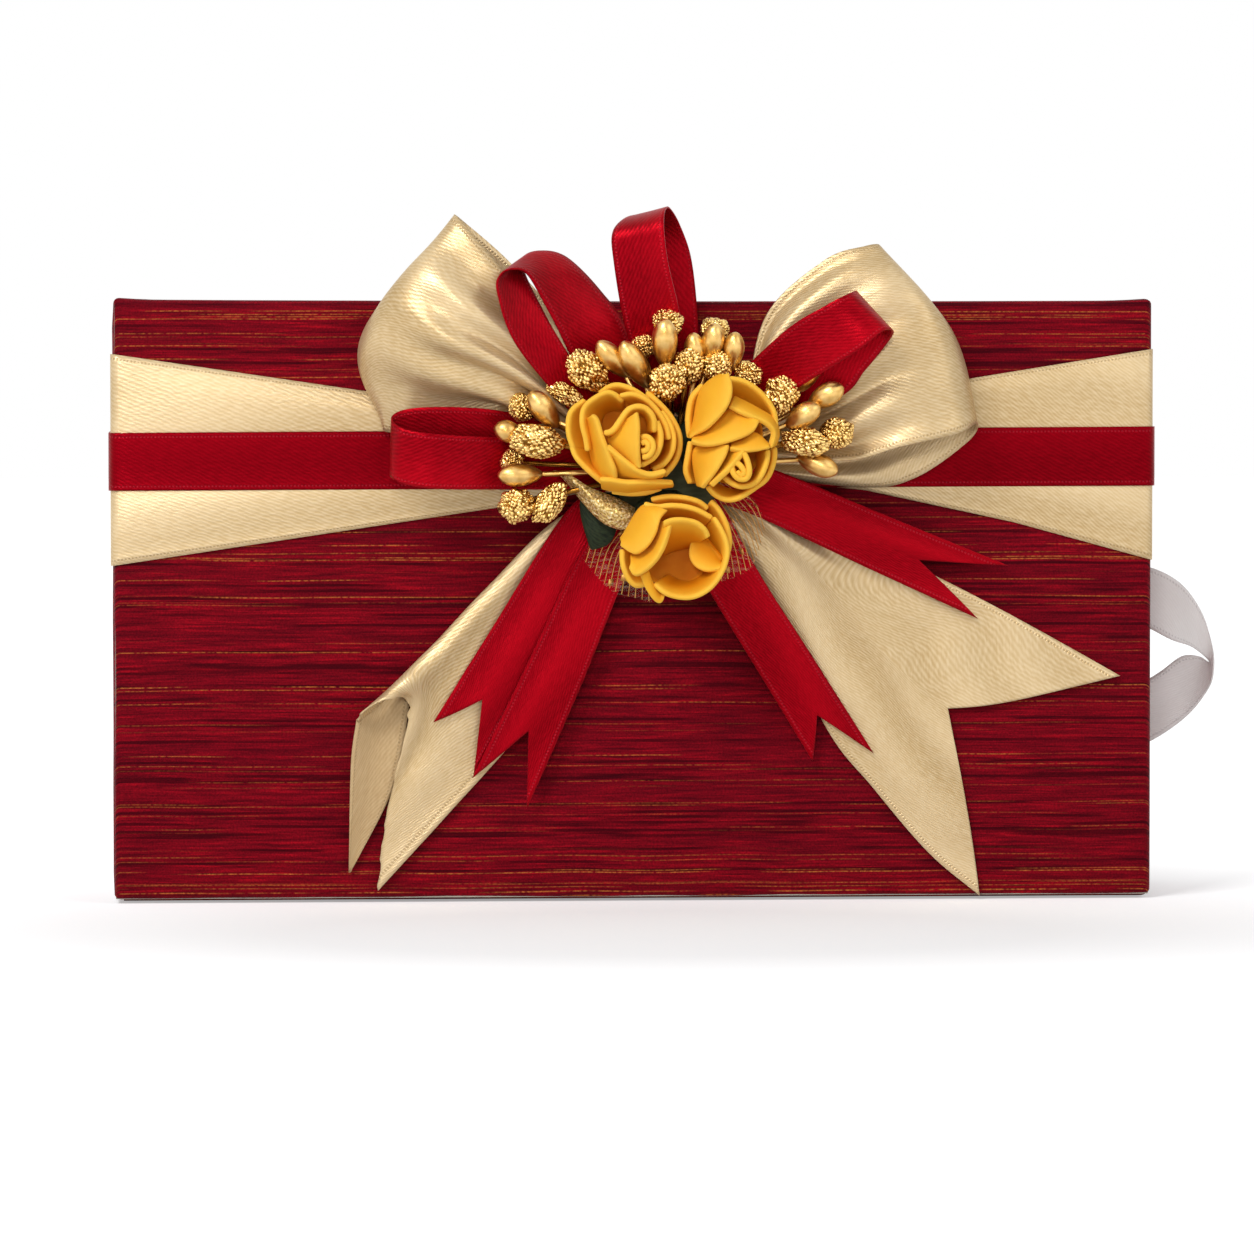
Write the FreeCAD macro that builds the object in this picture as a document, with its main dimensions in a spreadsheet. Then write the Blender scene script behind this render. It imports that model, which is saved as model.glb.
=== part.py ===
"""Gift box: a cloth-covered sleeve with a sliding tray, a ribbon bow and a spray of foam roses.

The box stands on a long edge. X runs along its length towards the open end, Y from the bow to the back, and
Z is up. The origin is the middle of the bottom face.
"""
import FreeCAD, Part
import math
import os
import Sketcher

SIZES = {
    # sleeve
    "box_length": 205,
    "box_depth": 50,
    "box_height": 118,
    "board_thickness": 2,
    "cloth_thickness": 0.5,
    "turn_in": 14,
    # tray and its pull loop
    "tray_wall": 1.8,
    "tray_gap": 0.3,
    "tray_recess": 1,
    "lining_thickness": 0.4,
    "pull_width": 12,
    "pull_thickness": 0.4,
    "pull_reach": 17.5,
    "pull_height": 46.5,
    "pull_spacing": 25,
    "pull_spread": 9,
    "pull_tab": 10,
    "slit_gap": 0.3,
    # ribbons laid round the sleeve
    "ribbon_thickness": 0.4,
    "gold_width": 51,
    "red_width": 12,
    "band_width": 42,
    "band_gather": 11,
    "band_height": 87,
    "band_tuck": 9,
    # knot
    "bow_offset": 5,
    "bow_height": 84.4,
    "knot_radius": 12,
    "knot_thickness": 8.2,
    "wire_diameter": 0.9,
    "fit_gap": 0.3,
    # bow loops
    "gold_loop_length": 49,
    "gold_bend_radius": 7,
    "gold_neck_width": 9,
    "gold_neck_height": 4.5,
    "red_loop_length": 39,
    "red_bend_radius": 5,
    "red_neck_width": 6,
    "red_neck_height": 7.4,
    "neck_opening": 1.2,
    # bow tails
    "gold_tail_length": 87,
    "gold_tail_notch": 31,
    "gold_tail_root": 18,
    "red_tail_length": 56,
    "red_tail_notch": 11,
    # flower spray
    "pad_radius": 11,
    "pad_thickness": 3,
    "rose_radius": 10.6,
    "rose_height": 13,
    "rose_circle": 8,
    "rose_stem": 4.5,
    "petal_thickness": 0.6,
    "calyx_radius": 6.8,
    "calyx_thickness": 1.5,
    "scroll_step": 0.5,
    "scroll_thickness": 0.6,
    "stalk_radius": 0.45,
    "bud_radius": 2.1,
    "bud_length": 7.5,
    "berry_radius": 2.5,
    "berry_length": 5.6,
    "near_ring": 26,
    "far_ring": 32,
    "leaf_length": 17,
    "leaf_width": 8,
    "net_length": 14,
    "net_width": 16,
    "net_pitch": 2.4,
    "net_thread": 0.5,
    "foil_thickness": 0.3,
}

PETALS = 8
PETAL_SWEEP = 130
PETAL_STEP = 137.5
PETAL_FACETS = 6
CALYX_SIDES = 10
BELLY_SHARE = 0.7
CROWN_SHARE = 0.4
SHOULDER_SHARE = 0.55
OUTER_DROP = 0.25
SCROLL_HALF_TURNS = 5
ROSE_LEAN = 20
STALK_RISE = 28
PULL_SLANT = 1.25
BUD_SIDES = 6

doc = FreeCAD.newDocument("GiftBox")
sheet = doc.addObject("Spreadsheet::Sheet", "Sizes")
for row, (alias, value) in enumerate(SIZES.items(), 1):
    sheet.set(f"A{row}", alias)
    sheet.set(f"B{row}", str(value))
    sheet.setAlias(f"B{row}", alias)
doc.recompute()

pieces = []


def size(alias):
    """One cell of the sheet as a number."""
    return float(sheet.get(alias))


def keep(piece, label):
    """Names a finished sub-part."""
    piece.Label = label
    pieces.append(piece)
    return piece


# Faces of the sleeve, as expressions on the sheet
LEFT = "(-Sizes.box_length / 2)"
RIGHT = "(Sizes.box_length / 2)"
FRONT = "(-Sizes.box_depth / 2)"
BACK = "(Sizes.box_depth / 2)"
TOP = "Sizes.box_height"
CLOTH = "Sizes.cloth_thickness"
SHELL = "(Sizes.cloth_thickness + Sizes.board_thickness)"
LINED = "(2 * Sizes.cloth_thickness + Sizes.board_thickness)"
RIBBON = "Sizes.ribbon_thickness"


def block(label, x, y, z):
    """A flat board between two limits on each axis."""
    box = doc.addObject("Part::Box", label)
    for size_name, axis, (low, high) in (("Length", "x", x), ("Width", "y", y), ("Height", "z", z)):
        box.setExpression(size_name, f"({high}) - ({low})")
        box.setExpression(f"Placement.Base.{axis}", low)
    return keep(box, label)


def new_body(name):
    return doc.addObject("PartDesign::Body", name)


def new_sketch(body, plane, offset=None):
    """An empty sketch on one of the body's own origin planes."""
    sketch = body.newObject("Sketcher::SketchObject", f"{body.Name}_sketch")
    support = next(f for f in body.Origin.OriginFeatures if f.Role == plane)
    sketch.AttachmentSupport = (support, [""])
    sketch.MapMode = "FlatFace"
    if offset:
        sketch.setExpression("AttachmentOffset.Base.z", offset)
    return sketch


def bind(sketch, kind, first, second, name, expression):
    """A dimension between two points of a sketch, driven by the sheet."""
    value = float(sketch.evalExpression(expression))
    index = sketch.addConstraint(Sketcher.Constraint(kind, *first, *second, value))
    sketch.renameConstraint(index, name)
    sketch.setExpression(f"Constraints.{name}", expression)


def add_outline(sketch, corners):
    """A closed outline of straight edges, each corner placed by the sheet."""
    start = sketch.GeometryCount
    count = len(corners)
    points = [point_of(sketch, corner) for corner in corners]
    edges = [Part.LineSegment(points[i], points[(i + 1) % count]) for i in range(count)]
    sketch.addGeometry(edges, False)
    for i in range(count):
        sketch.addConstraint(Sketcher.Constraint("Coincident", start + i, 2, start + (i + 1) % count, 1))
    for i, (x, y) in enumerate(corners):
        bind(sketch, "DistanceX", (-1, 1), (start + i, 1), f"x{start + i}", x)
        bind(sketch, "DistanceY", (-1, 1), (start + i, 1), f"y{start + i}", y)


def point_of(sketch, corner):
    """A corner given as expressions, as a point of the sketch."""
    x, y = corner
    return FreeCAD.Vector(float(sketch.evalExpression(x)), float(sketch.evalExpression(y)), 0)


def add_pad(body, sketch, length, symmetric=False):
    pad = body.newObject("PartDesign::Pad", f"{body.Name}_pad")
    pad.Profile = sketch
    pad.setExpression("Length", length)
    pad.SideType = "Symmetric" if symmetric else "One side"
    return pad


def padded(body, plane, outlines, length, offset=None, symmetric=False):
    """A sketch of one or more outlines, padded."""
    sketch = new_sketch(body, plane, offset)
    for corners in outlines:
        add_outline(sketch, corners)
    return add_pad(body, sketch, length, symmetric)


def rectangle(x, y):
    return [(x[0], y[0]), (x[1], y[0]), (x[1], y[1]), (x[0], y[1])]


# Sleeve boards: front and back run full height, top, bottom and end fit between them

BOARD_X = (f"{LEFT} + {CLOTH}", f"{RIGHT} - {CLOTH}")
BOARD_Z = (CLOTH, f"{TOP} - {CLOTH}")
INSIDE_Y = (f"{FRONT} + {SHELL}", f"{BACK} - {SHELL}")


def build_sleeve():
    block("sleeve_front_board", BOARD_X, (f"{FRONT} + {CLOTH}", f"{FRONT} + {SHELL}"), BOARD_Z)
    block("sleeve_back_board", BOARD_X, (f"{BACK} - {SHELL}", f"{BACK} - {CLOTH}"), BOARD_Z)
    block("sleeve_top_board", BOARD_X, INSIDE_Y, (f"{TOP} - {SHELL}", f"{TOP} - {CLOTH}"))
    block("sleeve_bottom_board", BOARD_X, INSIDE_Y, (CLOTH, SHELL))
    end_x = (f"{LEFT} + {CLOTH}", f"{LEFT} + {SHELL}")
    block("sleeve_end_board", end_x, INSIDE_Y, (SHELL, f"{TOP} - {SHELL}"))


def arch(outer, inner, foot):
    """Front, top and back of the sleeve in section, between two depths from the outside."""
    return [
        (f"{FRONT} + {outer}", foot),
        (f"{FRONT} + {outer}", f"{TOP} - {outer}"),
        (f"{BACK} - {outer}", f"{TOP} - {outer}"),
        (f"{BACK} - {outer}", foot),
        (f"{BACK} - {inner}", foot),
        (f"{BACK} - {inner}", f"{TOP} - {inner}"),
        (f"{FRONT} + {inner}", f"{TOP} - {inner}"),
        (f"{FRONT} + {inner}", foot),
    ]


def build_cloth():
    """Silk over front, top and back, turned in at the mouth, with a bottom strip and an end patch."""
    wrap = new_body("cover_cloth")
    length = f"Sizes.box_length - 2 * {CLOTH}"
    padded(wrap, "YZ_Plane", [arch("0", CLOTH, CLOTH)], length, f"{LEFT} + {CLOTH}")
    padded(wrap, "YZ_Plane", [arch("0", LINED, CLOTH)], CLOTH, f"{RIGHT} - {CLOTH}")
    turned = f"Sizes.turn_in - {CLOTH}"
    padded(wrap, "YZ_Plane", [arch(SHELL, LINED, LINED)], turned, f"{RIGHT} - Sizes.turn_in")
    keep(wrap, "cover_cloth")

    strip = new_body("bottom_cloth")
    foot = rectangle((f"{LEFT} + {CLOTH}", RIGHT), (FRONT, BACK))
    padded(strip, "XY_Plane", [foot], CLOTH)
    hook = [
        (RIGHT, "0"),
        (RIGHT, LINED),
        (f"{RIGHT} - Sizes.turn_in", LINED),
        (f"{RIGHT} - Sizes.turn_in", SHELL),
        (f"{RIGHT} - {CLOTH}", SHELL),
        (f"{RIGHT} - {CLOTH}", "0"),
    ]
    padded(strip, "XZ_Plane", [hook], f"Sizes.box_depth - 2 * {LINED}", symmetric=True)
    keep(strip, "bottom_cloth")

    block("end_cloth", (LEFT, f"{LEFT} + {CLOTH}"), (FRONT, BACK), ("0", TOP))


# Tray: floor against the back, open towards the front, clear of the ribbon ends tucked into the mouth

GAP = "Sizes.tray_gap"
TRAY_WALL = "Sizes.tray_wall"
TRAY_BACK = f"({BACK} - {LINED} - 2 * {RIBBON} - {GAP})"
TRAY_FRONT = f"({FRONT} + {LINED} + 2 * {RIBBON} + {GAP})"
TRAY_LOW = f"({LINED} + {GAP})"
TRAY_HIGH = f"({TOP} - {LINED} - {GAP})"
TRAY_LEFT = f"({LEFT} + {SHELL} + {GAP})"
TRAY_FACE = f"({RIGHT} - Sizes.tray_recess)"
TRAY_END = f"({TRAY_FACE} - {CLOTH})"
WALL_Y = (TRAY_FRONT, f"{TRAY_BACK} - {TRAY_WALL}")
END_Z = (f"{TRAY_LOW} + {TRAY_WALL}", f"{TRAY_HIGH} - {TRAY_WALL}")
UPPER_SLIT = ("(-Sizes.pull_spread / 2)", "(Sizes.pull_height + Sizes.pull_spacing / 2)")
LOWER_SLIT = ("(Sizes.pull_spread / 2)", "(Sizes.pull_height - Sizes.pull_spacing / 2)")


def slit(centre):
    """The cut that one strand of the pull ribbon passes through."""
    across = "(Sizes.pull_thickness / 2 + Sizes.slit_gap)"
    along = "(Sizes.pull_width / 2 + Sizes.slit_gap)"
    y, z = centre
    return rectangle((f"{y} - {across}", f"{y} + {across}"), (f"{z} - {along}", f"{z} + {along}"))


def build_tray():
    full_x = (TRAY_LEFT, TRAY_END)
    block("tray_floor", full_x, (f"{TRAY_BACK} - {TRAY_WALL}", TRAY_BACK), (TRAY_LOW, TRAY_HIGH))
    block("tray_upper_wall", full_x, WALL_Y, (f"{TRAY_HIGH} - {TRAY_WALL}", TRAY_HIGH))
    block("tray_lower_wall", full_x, WALL_Y, (TRAY_LOW, f"{TRAY_LOW} + {TRAY_WALL}"))
    block("tray_inner_end", (TRAY_LEFT, f"{TRAY_LEFT} + {TRAY_WALL}"), WALL_Y, END_Z)
    lining_x = (f"{TRAY_LEFT} + {TRAY_WALL}", f"{TRAY_END} - {TRAY_WALL}")
    lining_y = (f"{TRAY_BACK} - {TRAY_WALL} - Sizes.lining_thickness", f"{TRAY_BACK} - {TRAY_WALL}")
    block("tray_lining", lining_x, lining_y, END_Z)

    end = new_body("tray_pull_end")
    board = [rectangle(WALL_Y, END_Z), slit(UPPER_SLIT), slit(LOWER_SLIT)]
    padded(end, "YZ_Plane", board, TRAY_WALL, f"{TRAY_END} - {TRAY_WALL}")
    keep(end, "tray_pull_end")

    facing = new_body("pull_end_cloth")
    sheet_outline = rectangle((TRAY_FRONT, TRAY_BACK), (TRAY_LOW, TRAY_HIGH))
    padded(facing, "YZ_Plane", [sheet_outline, slit(UPPER_SLIT), slit(LOWER_SLIT)], CLOTH, TRAY_END)
    keep(facing, "pull_end_cloth")


def build_pull_ribbon():
    """A satin loop out of the upper slit and back into the lower one, its ends glued inside."""
    ribbon = new_body("pull_ribbon")
    thick = "Sizes.pull_thickness"
    inside = f"({TRAY_END} - {TRAY_WALL})"
    bend = "(Sizes.pull_spread / 2)"
    far = f"({TRAY_FACE} + Sizes.pull_reach)"
    sketch = new_sketch(ribbon, "XY_Plane", "Sizes.pull_height")
    add_pull_path(sketch, inside, f"{far} - {bend}", bend, thick)
    add_pad(ribbon, sketch, "2 * (Sizes.pull_spacing + Sizes.pull_width)", symmetric=True)

    half = "(Sizes.pull_width / 2)"
    steep_half = f"({half} * {PULL_SLANT})"
    beyond = f"({far} + Sizes.pull_width)"
    limit = "(2 * Sizes.pull_spacing + Sizes.pull_width)"
    strands = (("front", UPPER_SLIT[1], True), ("back", LOWER_SLIT[1], False))
    for name, strand, reverse in strands:
        before = volume_of(ribbon)
        cut = new_sketch(ribbon, "XZ_Plane")
        for side in ("+", "-"):
            edge = f"Sizes.pull_height {side} {limit}"
            add_outline(cut, [
                (f"{inside} - Sizes.pull_width", f"{strand} {side} {half}"),
                (TRAY_FACE, f"{strand} {side} {half}"),
                (far, f"Sizes.pull_height {side} {steep_half}"),
                (beyond, f"Sizes.pull_height {side} {steep_half}"),
                (beyond, edge),
                (f"{inside} - Sizes.pull_width", edge),
            ])
        trim = ribbon.newObject("PartDesign::Pocket", f"pull_ribbon_{name}_trim")
        trim.Profile = cut
        trim.Type = "ThroughAll"
        trim.Reversed = reverse
        doc.recompute()
        assert volume_of(ribbon) < before
    keep(ribbon, "pull_ribbon")


def add_pull_path(sketch, inside, bend_x, bend, thick):
    """The pull ribbon seen from above: a tab, a run out, a half turn, a run back and a tab."""
    outer = f"({bend} + {thick} / 2)"
    inner = f"({bend} - {thick} / 2)"
    tab_end = f"({bend} + Sizes.pull_tab)"
    corners = [
        (bend_x, outer),
        (inside, outer),
        (inside, tab_end),
        (f"{inside} - {thick}", tab_end),
        (f"{inside} - {thick}", inner),
        (bend_x, inner),
    ]
    upper = [point_of(sketch, corner) for corner in corners]
    lower = [FreeCAD.Vector(p.x, -p.y, 0) for p in upper]
    runs = [Part.LineSegment(a, b) for side in (upper, lower) for a, b in zip(side, side[1:])]
    centre = FreeCAD.Vector(upper[0].x, 0, 0)
    turns = []
    for start, end in ((lower[0], upper[0]), (lower[-1], upper[-1])):
        tip = centre + FreeCAD.Vector(end.y, 0, 0)
        turns.append(Part.Arc(start, tip, end))
    sketch.addGeometry(runs + turns, False)
    edges = len(corners) - 1
    outer_turn = 2 * edges
    inner_turn = outer_turn + 1
    for first in (0, edges):
        for i in range(first, first + edges - 1):
            sketch.addConstraint(Sketcher.Constraint("Coincident", i, 2, i + 1, 1))
    ends = ((outer_turn, 2, 0, 1), (outer_turn, 1, edges, 1))
    ends += ((inner_turn, 2, edges - 1, 2), (inner_turn, 1, 2 * edges - 1, 2))
    for join in ends:
        sketch.addConstraint(Sketcher.Constraint("Coincident", *join))
    for turn in (outer_turn, inner_turn):
        bind(sketch, "DistanceX", (-1, 1), (turn, 3), f"turn{turn}", bend_x)
    for first, sign in ((0, ""), (edges, "-")):
        for i, (x, y) in enumerate(corners):
            spot = (first + i, 1) if i < edges else (first + i - 1, 2)
            bind(sketch, "DistanceX", (-1, 1), spot, f"x{first}_{i}", x)
            bind(sketch, "DistanceY", (-1, 1), spot, f"y{first}_{i}", f"{sign}{y}")


# Bands: each runs across the front, round the closed end and across the back, and tucks into the mouth

MOUTH_FRONT = f"({FRONT} + {LINED})"
MOUTH_BACK = f"({BACK} - {LINED})"


def band_path(inner, outer):
    """The band seen from above, between two depths outside the cloth."""
    tuck = f"{RIGHT} - Sizes.band_tuck"
    return [
        (tuck, f"{MOUTH_FRONT} + {outer}"),
        (f"{RIGHT} + {outer}", f"{MOUTH_FRONT} + {outer}"),
        (f"{RIGHT} + {outer}", f"{FRONT} - {outer}"),
        (f"{LEFT} - {outer}", f"{FRONT} - {outer}"),
        (f"{LEFT} - {outer}", f"{BACK} + {outer}"),
        (f"{RIGHT} + {outer}", f"{BACK} + {outer}"),
        (f"{RIGHT} + {outer}", f"{MOUTH_BACK} - {outer}"),
        (tuck, f"{MOUTH_BACK} - {outer}"),
        (tuck, f"{MOUTH_BACK} - {inner}"),
        (f"{RIGHT} + {inner}", f"{MOUTH_BACK} - {inner}"),
        (f"{RIGHT} + {inner}", f"{BACK} + {inner}"),
        (f"{LEFT} - {inner}", f"{BACK} + {inner}"),
        (f"{LEFT} - {inner}", f"{FRONT} - {inner}"),
        (f"{RIGHT} + {inner}", f"{FRONT} - {inner}"),
        (f"{RIGHT} + {inner}", f"{MOUTH_FRONT} + {inner}"),
        (tuck, f"{MOUTH_FRONT} + {inner}"),
    ]


def build_bands():
    low = "Sizes.band_height - Sizes.band_width / 2"
    high = "Sizes.band_height + Sizes.band_width / 2"
    gold = new_body("gold_band")
    padded(gold, "XY_Plane", [band_path("0", RIBBON)], "Sizes.band_width", low)
    before = volume_of(gold)
    sketch = new_sketch(gold, "XZ_Plane")
    gathered_low = "Sizes.bow_height - Sizes.band_gather / 2"
    gathered_high = "Sizes.bow_height + Sizes.band_gather / 2"
    add_outline(sketch, [(LEFT, low), (RIGHT, low), ("Sizes.bow_offset", gathered_low)])
    add_outline(sketch, [(LEFT, high), ("Sizes.bow_offset", gathered_high), (RIGHT, high)])
    gather = gold.newObject("PartDesign::Pocket", "gold_band_gather")
    gather.Profile = sketch
    gather.Type = "ThroughAll"
    gather.Reversed = True
    doc.recompute()
    assert volume_of(gold) < before
    keep(gold, "gold_band")

    red = new_body("red_band")
    centred = "Sizes.band_height - Sizes.red_width / 2"
    padded(red, "XY_Plane", [band_path(RIBBON, f"(2 * {RIBBON})")], "Sizes.red_width", centred)
    keep(red, "red_band")


def volume_of(body):
    doc.recompute()
    return body.Shape.Volume


# Bow: the knot sits on the bands, tails lie flat in layers, loops stand off the knot's rim

KNOT_FACE = f"({FRONT} - 2 * {RIBBON})"
RIM = "(Sizes.knot_radius + Sizes.fit_gap)"
OUTWARD = "rotation(vector(1; 0; 0); 180)"


def lay(piece, x, y, z, turn):
    """Places a sub-part by expressions: a point and a turn."""
    piece.setExpression("Placement", f"placement(vector({x}; {y}; {z}); {turn})")


def revolved(label, corners):
    """A body turned about its sketch's vertical axis."""
    body = new_body(label)
    sketch = new_sketch(body, "XY_Plane")
    add_outline(sketch, corners)
    turned = body.newObject("PartDesign::Revolution", f"{label}_turn")
    turned.Profile = sketch
    turned.ReferenceAxis = (sketch, ["V_Axis"])
    turned.Angle = 360
    return keep(body, label)


def build_knot():
    radius = "Sizes.knot_radius"
    thick = "Sizes.knot_thickness"
    groove = "(Sizes.wire_diameter + Sizes.fit_gap)"
    waist = f"({thick} / 2)"
    knot = revolved("bow_knot", [
        ("0", "0"),
        (radius, "0"),
        (radius, f"{waist} - {groove} / 2"),
        (f"{radius} - {groove}", f"{waist} - {groove} / 2"),
        (f"{radius} - {groove}", f"{waist} + {groove} / 2"),
        (radius, f"{waist} + {groove} / 2"),
        (radius, thick),
        ("0", thick),
    ])
    lay(knot, "Sizes.bow_offset", KNOT_FACE, "Sizes.bow_height", OUTWARD)

    inner = f"({radius} - {groove} + Sizes.fit_gap / 2)"
    wire_x = (inner, f"{inner} + Sizes.wire_diameter")
    wire_y = (f"{waist} - Sizes.wire_diameter / 2", f"{waist} + Sizes.wire_diameter / 2")
    wire = revolved("binding_wire", rectangle(wire_x, wire_y))
    lay(wire, "Sizes.bow_offset", KNOT_FACE, "Sizes.bow_height", OUTWARD)


def rim_point(azimuth, height, extra="0"):
    """A point just off the knot's rim, as expressions: along the front, out from the face, up."""
    reach = f"({RIM} + {extra})"
    x = f"Sizes.bow_offset + {reach} * cos({azimuth} deg)"
    z = f"Sizes.bow_height + {reach} * sin({azimuth} deg)"
    return x, f"{FRONT} - {height}", z


def swallow_tail(label, azimuth, layer, length, notch, root, width):
    """A flat ribbon end with a notch, pointing away from the knot."""
    tail = new_body(label)
    outline = [
        ("0", f"-{root} / 2"),
        (length, f"-{width} / 2"),
        (f"{length} - {notch}", "0"),
        (length, f"{width} / 2"),
        ("0", f"{root} / 2"),
    ]
    padded(tail, "XY_Plane", [outline], RIBBON)
    turn = f"rotation(vector(0; 1; 0); -({azimuth})) * rotation(vector(1; 0; 0); 90)"
    lay(tail, *rim_point(azimuth, f"{layer} * {RIBBON}"), turn)
    return keep(tail, label)


def build_tails():
    gold = ("Sizes.gold_tail_length", "Sizes.gold_tail_notch", "Sizes.gold_tail_root", "Sizes.gold_width")
    red = ("Sizes.red_tail_length", "Sizes.red_tail_notch", "Sizes.red_width", "Sizes.red_width")
    swallow_tail("gold_tail_right", -38.8, 2, *gold)
    swallow_tail("red_tail_left_outer", 233, 3, *red)
    swallow_tail("red_tail_left_inner", 243.5, 4, *red)
    swallow_tail("red_tail_right_lower", -57.5, 3, *red)
    swallow_tail("red_tail_right_upper", -20, 4, *red)
    build_folded_tail()


def build_folded_tail():
    """The left gold tail: one half lies flat, the other is folded over along the ribbon and hangs free."""
    azimuth = 223.2
    length = "Sizes.gold_tail_length"
    notch = "Sizes.gold_tail_notch"
    half = "(Sizes.gold_width / 2)"
    fold = "(Sizes.gold_tail_root / 3)"
    flat = new_body("gold_tail_left")
    outline = [
        ("0", f"-{fold}"),
        (f"{length} - {notch} * 0.8", f"-{fold}"),
        (f"{length} - {notch}", "0"),
        (length, f"{half} * 0.84"),
        (f"{length} * 0.5", f"{half} * 0.75"),
        ("0", f"{fold} * 1.4"),
    ]
    padded(flat, "XY_Plane", [outline], RIBBON)
    turn = f"rotation(vector(0; 1; 0); -{azimuth}) * rotation(vector(1; 0; 0); 90)"
    lay(flat, *rim_point(azimuth, f"2 * {RIBBON}"), turn)
    keep(flat, "gold_tail_left")

    flap = new_body("gold_tail_left_fold")
    crease = "(Sizes.gold_width * 0.2)"
    outline = [("0", "0"), (f"{notch} * 1.05", f"-{crease} * 0.1"), ("0", crease)]
    padded(flap, "XY_Plane", [outline], RIBBON)
    out = f"({RIM} + {length} - {notch} * 0.8)"
    side = f"({fold} + Sizes.fit_gap)"
    x = f"Sizes.bow_offset + {out} * cos({azimuth} deg) + {side} * sin({azimuth} deg)"
    z = f"Sizes.bow_height + {out} * sin({azimuth} deg) - {side} * cos({azimuth} deg)"
    hang = "rotation(vector(0; 1; 0); -267) * rotation(vector(1; 0; 0); 90) * rotation(vector(1; 0; 0); 25)"
    lay(flap, x, f"{FRONT} - 3 * {RIBBON} - Sizes.fit_gap", z, hang)
    keep(flap, "gold_tail_left_fold")


def ribbon_loop(label, azimuth, lift, twist, height, length, bend, neck, width, spread_at):
    """A ribbon bent back on itself: a looped section padded to the ribbon's width, gathered at the neck."""
    loop = new_body(label)
    sketch = new_sketch(loop, "XY_Plane")
    far = float(loop.evalExpression(f"{length} - {bend}"))
    radius = float(loop.evalExpression(bend))
    thick = size("ribbon_thickness")
    opening = size("neck_opening") / 2
    slope = math.asin(radius / math.hypot(far, opening + thick)) - math.atan2(opening + thick, far)

    def on_bend(r, side):
        return FreeCAD.Vector(far - r * math.sin(slope), side * r * math.cos(slope), 0)

    def bend_arc(r):
        tip = FreeCAD.Vector(far + r, 0, 0)
        return Part.Arc(on_bend(r, -1), tip, on_bend(r, 1))

    inner = radius - thick
    upper_out = FreeCAD.Vector(0, opening + thick, 0)
    upper_in = FreeCAD.Vector(0, opening, 0)
    lower_out = FreeCAD.Vector(0, -opening - thick, 0)
    lower_in = FreeCAD.Vector(0, -opening, 0)
    sketch.addGeometry([
        bend_arc(radius),
        Part.LineSegment(on_bend(radius, 1), upper_out),
        Part.LineSegment(upper_out, upper_in),
        Part.LineSegment(upper_in, on_bend(inner, 1)),
        bend_arc(inner),
        Part.LineSegment(on_bend(inner, -1), lower_in),
        Part.LineSegment(lower_in, lower_out),
        Part.LineSegment(lower_out, on_bend(radius, -1)),
    ], False)
    joins = [
        ("Tangent", 0, 2, 1, 1), ("Coincident", 1, 2, 2, 1), ("Coincident", 2, 2, 3, 1),
        ("Tangent", 3, 2, 4, 2), ("Tangent", 4, 1, 5, 1), ("Coincident", 5, 2, 6, 1),
        ("Coincident", 6, 2, 7, 1), ("Tangent", 7, 2, 0, 1),
        ("Coincident", 0, 3, 4, 3), ("PointOnObject", 0, 3, -1),
    ]
    for join in joins:
        sketch.addConstraint(Sketcher.Constraint(*join))
    bind(sketch, "DistanceX", (-1, 1), (0, 3), "bend_centre", f"{length} - {bend}")
    for index, name, value in ((0, "outer_bend", bend), (4, "inner_bend", f"{bend} - {RIBBON}")):
        start = float(loop.evalExpression(value))
        constraint = sketch.addConstraint(Sketcher.Constraint("Radius", index, start))
        sketch.renameConstraint(constraint, name)
        sketch.setExpression(f"Constraints.{name}", value)
    half = "(Sizes.neck_opening / 2)"
    for index, name, value in (
        (2, "upper_out", f"{half} + {RIBBON}"),
        (3, "upper_in", half),
        (6, "lower_in", f"-{half}"),
        (7, "lower_out", f"-{half} - {RIBBON}"),
    ):
        bind(sketch, "DistanceX", (-1, 1), (index, 1), f"{name}_x", "0")
        bind(sketch, "DistanceY", (-1, 1), (index, 1), f"{name}_y", value)
    add_pad(loop, sketch, width, symmetric=True)

    before = volume_of(loop)
    cut = new_sketch(loop, "XZ_Plane")
    spread = f"({length} * {spread_at})"
    beyond = f"({length} * 2)"
    for side in ("", "-"):
        add_outline(cut, [
            ("0", f"{side}{neck} / 2"),
            (f"{spread} * 0.75", f"{side}({neck} + {width}) / 4"),
            (spread, f"{side}{width} / 2"),
            (spread, f"{side}{beyond}"),
            (f"-{length}", f"{side}{beyond}"),
            (f"-{length}", f"{side}{neck} / 2"),
        ])
    gather = loop.newObject("PartDesign::Pocket", f"{label}_gather")
    gather.Profile = cut
    gather.Type = "ThroughAll"
    gather.SideType = "Symmetric"
    doc.recompute()
    assert volume_of(loop) < before
    turn = (
        f"rotation(vector(0; 1; 0); -({azimuth})) * rotation(vector(0; 0; 1); -({lift}))"
        f" * rotation(vector(1; 0; 0); 180 - ({twist}))"
    )
    lay(loop, *rim_point(azimuth, height, "Sizes.fit_gap * 2"), turn)
    return keep(loop, label)


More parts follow.
